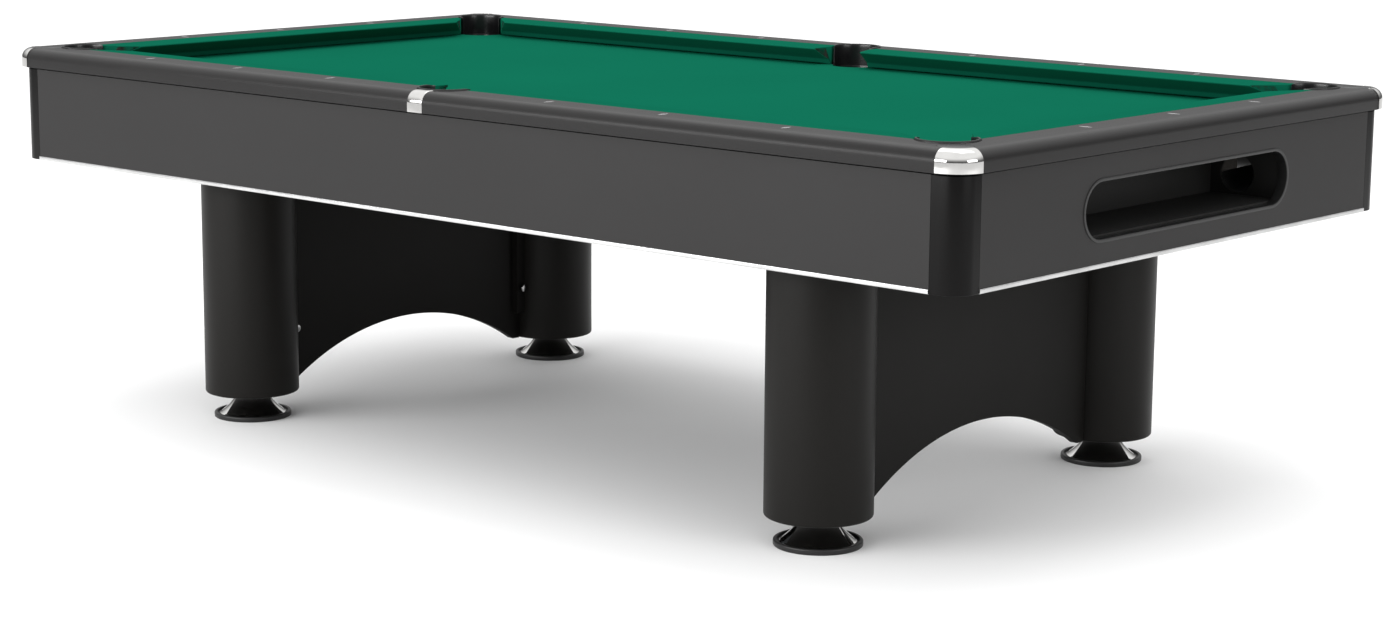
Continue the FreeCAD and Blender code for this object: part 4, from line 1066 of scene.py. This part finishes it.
class PoolCaps(Step, bpy.types.Operator):
    """Fit the chrome corner caps and side caps"""

    bl_idname = "pool.caps"
    bl_label = "Chrome caps"

    def corner_section(self, r):
        """The cap's wall: level from its hole, round the bull-nose and down to its foot."""
        outer = r.corner_centre + CAP_PROUD
        return rounded(
            [(r.cap_inner, CAP_TOP), (outer, CAP_TOP), (outer, CAP_LOW),
             (outer - r.cap_wall, CAP_LOW), (outer - r.cap_wall, CAP_TOP - r.cap_wall),
             (r.cap_inner, CAP_TOP - r.cap_wall)],
            [0.0006, r.bull_nose, 0.0008, 0.0, r.bull_nose - r.cap_wall, 0.0], 16, closed=True)

    def side_cap(self, side, p, r):
        """A band over the bull-nose.  Its inner edge follows the pocket's rim."""
        half = 0.5 * r.side_cap
        along = half * np.sin(np.linspace(-pi / 2, pi / 2, 25))
        radius = rim_radius(p)
        start = p.side_out + np.sqrt(radius**2 - along**2)
        out, z = bull_nose(start, r, flat_rows=2, round_rows=20)
        # The band stands proud of the rail along the outward normal, less at its edges.
        knee = RAIL_SPAN - r.bull_nose
        swing = np.arcsin(np.clip((out - knee) / r.bull_nose, 0, 1))
        edge = np.sqrt(np.clip(1 - (np.abs(along) / half)**8, 0, 1))[:, None]
        proud = 0.0001 + CAP_PROUD * edge
        outer_out = out + proud * np.sin(swing)
        outer_z = z + proud * np.cos(swing)
        foot = np.full((len(along), 1), CAP_LOW)
        rows_out = np.concatenate([outer_out, outer_out[:, -1:], out[:, -1:], out[:, ::-1]], 1)
        rows_z = np.concatenate([outer_z, foot, foot, z[:, ::-1]], 1)
        return ring(side_points(side, along[:, None], rows_out, rows_z))

    def execute(self, context):
        p = context.scene.pool_pockets
        r = context.scene.pool_rails
        finish = polished("chrome", r.chrome)
        surfaces = []
        for sx, sy in CORNERS.values():
            corner = corner_centre(sx, sy, r)
            start = np.arctan2(sy, sx) - pi / 4
            surfaces += ring(lathe(self.corner_section(r), corner, start, start + pi / 2, 40))
        piece("corner_cap_set", surfaces, finish, "chrome", ["corner_caps"])
        surfaces = self.side_cap("front", p, r) + self.side_cap("back", p, r)
        piece("side_cap_set", surfaces, finish, "chrome", ["side_caps"])
        return {"FINISHED"}


class PoolCabinet(Step, bpy.types.Operator):
    """Make the corner posts, the aprons' trims and the ball mouth's edging"""

    bl_idname = "pool.cabinet"
    bl_label = "Cabinet"

    def posts(self, b, r):
        """Each post's section swings a quarter turn about its corner's centre, and runs
        straight for a little way before and after."""
        inner = b.post_radius - b.post_wall
        section = rounded([(inner, POST_LOW), (b.post_radius, POST_LOW),
                           (b.post_radius, POST_TOP), (inner, POST_TOP)], 0.0012, 4, closed=True)
        swing = np.concatenate([[0.0], np.linspace(0, pi / 2, 33), [pi / 2]])[:, None]
        before = np.zeros((35, 1))
        before[0] = b.post_flat
        after = before[::-1]
        middle_x, middle_y = corner_centre(1, 1, r)
        x = middle_x - after + section[:, 0] * np.cos(swing)
        y = middle_y - before + section[:, 0] * np.sin(swing)
        surfaces = []
        for sx, sy in CORNERS.values():
            surfaces += ring(np.stack(np.broadcast_arrays(sx * x, sy * y, section[:, 1]), -1))
        return surfaces

    def trims(self, b, r):
        """A strip with rounded edges under each apron."""
        inner = APRON_FACE_X - NOSE_X - b.apron_wall
        outer = inner + b.apron_wall + TRIM_PROUD
        section = rounded([(inner, POST_LOW), (outer, POST_LOW), (outer, APRON_LOW),
                           (inner, APRON_LOW)], [0.0, 0.0014, 0.0014, 0.0], 5, closed=True)
        surfaces = []
        for side in SIDES:
            reach = rail_reach(side, r) - b.post_flat - b.seam
            along = np.linspace(-reach, reach, 41)[:, None]
            surfaces += ring(side_points(side, along, section[:, 0], section[:, 1]))
        return surfaces

    def edging(self, b):
        """A lipped sleeve whose section follows the stadium round the ball mouth.

        Its path runs on straights and half circles, and the section stands off from that
        path along the outline's own normal."""
        radius = 0.5 * b.mouth_tall
        straight = 0.5 * b.mouth_long - radius
        turn = np.linspace(-pi / 2, pi / 2, 41)
        run = np.linspace(-straight, straight, 25)[1:-1]
        centre_y = np.concatenate([np.full(41, straight), run[::-1], np.full(41, -straight), run])
        swing = np.concatenate([turn, np.full(23, pi / 2), turn + pi, np.full(23, -pi / 2)])
        face = APRON_FACE_X
        flange = b.edging_wall + b.edging_flange
        section = rounded(
            [(0.0, APRON_BACK_X), (b.edging_wall, APRON_BACK_X), (b.edging_wall, face),
             (flange, face), (flange, face + b.edging_proud), (0.0, face + b.edging_proud)],
            [0.0005, 0.0005, 0.0, 0.0, 0.0009, 0.0012], 4, closed=True)
        reach = radius + section[:, 0]
        loops = np.stack(np.broadcast_arrays(
            section[:, 1],
            centre_y[:, None] + reach * np.cos(swing)[:, None],
            b.mouth_middle + reach * np.sin(swing)[:, None]), -1)
        return closed_ring(loops)

    def execute(self, context):
        b = context.scene.pool_cabinet
        r = context.scene.pool_rails
        apron = laminate("apron_laminate", b.apron_colour, 0.52, 800.0, pore=0.15, shine=0.26)
        refinish(apron, "apron_front", "apron_back", "apron_left", "apron_right")
        # The posts' laminate is the apron's colour darkened to 0.35 of it: painted shade for the
        # dark room that a post's round face reflects.
        piece("post_set", self.posts(b, r),
              laminate("post_laminate_painted_shade", np.array(b.apron_colour) * 0.35, 0.34, 800.0, 0.06, 0.09),
              "post", ["corner_posts"])
        piece("trim_set", self.trims(b, r),
              brushed("bright_aluminium", b.trim_colour, 0.22, (0.05, 0.05, 1.0)), "trim",
              ["bottom_trims"])
        piece("mouth_edging", self.edging(b), moulding("edging_plastic", b.edging_colour, 0.34),
              "edging", ["ball_mouth_edging"])
        refinish(laminate("tray_paint", (0.0085, 0.0083, 0.0078), 0.6, 500.0, 0.2, 0.3), "ball_tray")
        refinish(moulding("gully_plastic", (0.010, 0.010, 0.010), 0.5),
                 "return_gully_front", "return_gully_back")
        refinish(board("stained_board", (0.020, 0.017, 0.014), 160.0), "side_beams", "cross_beams")
        refinish(brushed("zinc_steel", context.scene.pool_legs.steel_colour, 0.36, (1.0, 1.0, 0.2)),
                 "rail_bolts", "leg_bolts", "leg_top_plates", "foot_sockets")
        return {"FINISHED"}


class PoolLegs(Step, bpy.types.Operator):
    """Stand the round legs and the arched panels between them"""

    bl_idname = "pool.legs"
    bl_label = "Legs and panels"

    def leg(self, centre, g):
        """A turned column with a rounded lower edge and the socket's blind hole."""
        profile = rounded(
            [(0.0, g.bore_top), (g.bore, g.bore_top), (g.bore, LEG_LOW), (LEG_RADIUS, LEG_LOW),
             (LEG_RADIUS, LEG_TOP), (0.0, LEG_TOP)],
            [0, 0, 0.0008, g.leg_round, 0.001, 0], 6)
        return [lathe(profile, centre, steps=96)]

    def panel(self, sign, g):
        """A board whose lower edge is an arch: z = crown - R + sqrt(R squared - y squared),
        never below the legs' feet.  Its ends follow the legs' round sides."""
        fit = LEG_RADIUS + FIT
        x = np.array([PANEL_OUT, PANEL_OUT, PANEL_IN, PANEL_IN])
        at_top = np.array([False, True, True, False])
        reach = LEG_Y - np.sqrt(fit**2 - (x - LEG_X)**2)
        half_span = np.sqrt(g.arch_radius**2 - (LEG_LOW - g.arch_top + g.arch_radius)**2)
        t = np.unique(np.concatenate([
            np.linspace(-1, 1, 121),
            half_span / (LEG_Y - LEG_RADIUS) * np.array([-1.0, 1.0])]))[:, None]
        t = t[np.abs(t[:, 0]) <= 1]
        y = t * reach
        arch = g.arch_top - g.arch_radius + np.sqrt(np.clip(g.arch_radius**2 - y**2, 0, None))
        foot = np.maximum(arch, LEG_LOW)
        z = np.where(at_top, PANEL_TOP, foot)
        loops = np.stack(np.broadcast_arrays(sign * x, y, z), -1)
        return ring(loops)

    def execute(self, context):
        g = context.scene.pool_legs
        leg_finish = laminate("leg_laminate", g.leg_colour, 0.44, 900.0, pore=0.08, shine=0.12)
        panel_finish = laminate("panel_laminate", g.panel_colour, 0.52, 900.0, pore=0.08, shine=0.10)
        for label, (sx, sy) in CORNERS.items():
            piece("leg_column_" + label, self.leg((sx * LEG_X, sy * LEG_Y), g), leg_finish,
                  "leg", ["leg_" + label])
        for label, sign in (("left", -1), ("right", 1)):
            piece("arched_panel_" + label, self.panel(sign, g), panel_finish, "panel",
                  ["arch_panel_" + label], bevel=PANEL_EDGE, bevel_angle=60)
        refinish(panel_finish, "panel_battens")
        return {"FINISHED"}


class PoolKnobs(Step, bpy.types.Operator):
    """Turn the knobs that hold the panels' battens"""

    bl_idname = "pool.knobs"
    bl_label = "Panel knobs"

    def execute(self, context):
        g = context.scene.pool_legs
        box_low, box_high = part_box("panel_knobs")
        radius = g.knob_radius
        length_out = g.knob_long
        x_face = box_high.x
        x_head = x_face - length_out
        surfaces = []
        profile = rounded([(0.0, 1.0), (0.78, 1.0), (0.78, 0.55), (1.0, 0.45), (1.0, 0.0),
                           (0.0, 0.0)], [0, 0.12, 0.1, 0.12, 0.2, 0], 5)
        turn = np.linspace(0, 2 * pi, 33)[:, None]
        for sx in (-1, 1):
            for sy in (-1, 1):
                for z in (box_low.z + radius, box_high.z - radius):
                    y = sy * (box_high.y - radius)
                    surfaces.append(np.stack(np.broadcast_arrays(
                        sx * (x_head + length_out * profile[:, 1]),
                        y + radius * profile[:, 0] * np.cos(turn),
                        z + radius * profile[:, 0] * np.sin(turn)), -1))
        piece("knob_set", surfaces, polished("knob_metal", (0.30, 0.30, 0.30)), "knob",
              ["panel_knobs"])
        return {"FINISHED"}


class PoolFeet(Step, bpy.types.Operator):
    """Make the levelling feet: pads, domes and threaded spindles"""

    bl_idname = "pool.feet"
    bl_label = "Levelling feet"

    def pad(self, centre, g):
        """A flat pad with a raised, rounded ring round its edge."""
        inner = PAD_RADIUS - g.ring_wide
        profile = rounded(
            [(0.0, 0.0), (PAD_RADIUS, 0.0), (PAD_RADIUS, PAD_TOP), (inner, PAD_TOP),
             (inner, DOME_LOW), (0.0, DOME_LOW)], [0, 0.002, 0.0032, 0.0018, 0.001, 0], 6)
        return [lathe(profile, centre, steps=96)]

    def dome(self, centre, g):
        """A spun dome: its side sweeps in from a small rolled rim to the neck under the
        leg, on radius = neck + (foot - neck) (1 - h) ^ 1.9 for a height h from 0 to 1."""
        rise = np.linspace(0, 1, 28)
        foot = DOME_RADIUS - 0.0012
        start = DOME_LOW + 0.0028
        radius = g.dome_neck + (foot - g.dome_neck) * (1 - rise)**1.9
        side = np.stack([radius, start + (DOME_TOP - 0.0008 - start) * rise], -1)
        rim = rounded([(0.012, DOME_LOW), (DOME_RADIUS, DOME_LOW),
                       (DOME_RADIUS, start), (foot, start)], [0, 0.0012, 0.0012, 0], 4)
        bore = SPINDLE_RADIUS + 0.0001
        top = np.array([(g.dome_neck - 0.0008, DOME_TOP), (bore, DOME_TOP), (bore, SPINDLE_LOW),
                        (0.0, SPINDLE_LOW)])
        profile = np.concatenate([[(0.0, DOME_LOW)], rim, side, top])
        return [lathe(profile, centre, steps=96)]

    def spindle(self, centre, g):
        """A threaded rod: its radius falls from the crest as the triangle wave of
        z / pitch - angle / one turn, so the crest climbs one pitch in each turn."""
        rows = int(round((SPINDLE_TOP - SPINDLE_LOW) / g.thread_pitch * 6))
        turn = np.linspace(0, 2 * pi, 33)
        z = np.linspace(SPINDLE_LOW, SPINDLE_TOP, rows + 1)[:, None]
        wave = np.abs(2 * ((z / g.thread_pitch - turn / (2 * pi)) % 1.0) - 1)
        end = np.minimum(z - SPINDLE_LOW, SPINDLE_TOP - z) < 0.0008
        radius = SPINDLE_RADIUS - 0.00005 - g.thread_deep * np.where(end, 1.0, wave)
        tube = np.stack(np.broadcast_arrays(
            centre[0] + radius * np.cos(turn), centre[1] + radius * np.sin(turn), z), -1)
        return [tube, tube[0][:-1], tube[-1][:-1]]

    def execute(self, context):
        g = context.scene.pool_legs
        pad_finish = moulding("pad_plastic", g.pad_colour, 0.38)
        dome_finish = polished("foot_chrome", context.scene.pool_rails.chrome)
        steel = brushed("spindle_steel", g.steel_colour, 0.30, (1.0, 1.0, 0.3))
        for label, (sx, sy) in CORNERS.items():
            centre = (sx * LEG_X, sy * LEG_Y)
            foot = "foot_" + label
            piece("pad_" + label, self.pad(centre, g), pad_finish, "foot_pad",
                  ["foot_pad_" + label], body=foot)
            piece("dome_" + label, self.dome(centre, g), dome_finish, "chrome",
                  ["foot_dome_" + label], body=foot)
            piece("thread_" + label, self.spindle(centre, g), steel, "steel",
                  ["foot_spindle_" + label], body="spindle_" + label)
        return {"FINISHED"}


OPERATORS = (PoolStage, PoolBed, PoolCushions, PoolRails, PoolSights, PoolLiners, PoolCaps,
             PoolCabinet, PoolLegs, PoolKnobs, PoolFeet)


class PoolPanel(bpy.types.Panel):
    """Lists the steps that build the pool table"""

    bl_idname = "VIEW3D_PT_pool_table"
    bl_label = "Pool Table"
    bl_space_type = "VIEW_3D"
    bl_region_type = "UI"
    bl_category = "Pool Table"

    def draw(self, context):
        for operator in OPERATORS:
            self.layout.operator(operator.bl_idname)
        for group, settings in GROUPS.items():
            box = self.layout.box()
            for name in settings.__annotations__:
                box.prop(getattr(context.scene, group), name)


def register():
    for group, settings in GROUPS.items():
        bpy.utils.register_class(settings)
        setattr(bpy.types.Scene, group, PointerProperty(type=settings))
    for operator in OPERATORS:
        bpy.utils.register_class(operator)
    bpy.utils.register_class(PoolPanel)


def unregister():
    bpy.utils.unregister_class(PoolPanel)
    for operator in reversed(OPERATORS):
        bpy.utils.unregister_class(operator)
    for group, settings in GROUPS.items():
        delattr(bpy.types.Scene, group)
        bpy.utils.unregister_class(settings)


def main():
    register()
    for operator in OPERATORS:
        group, name = operator.bl_idname.split(".")
        getattr(getattr(bpy.ops, group), name)()
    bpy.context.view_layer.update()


if __name__ == "__main__":
    main()
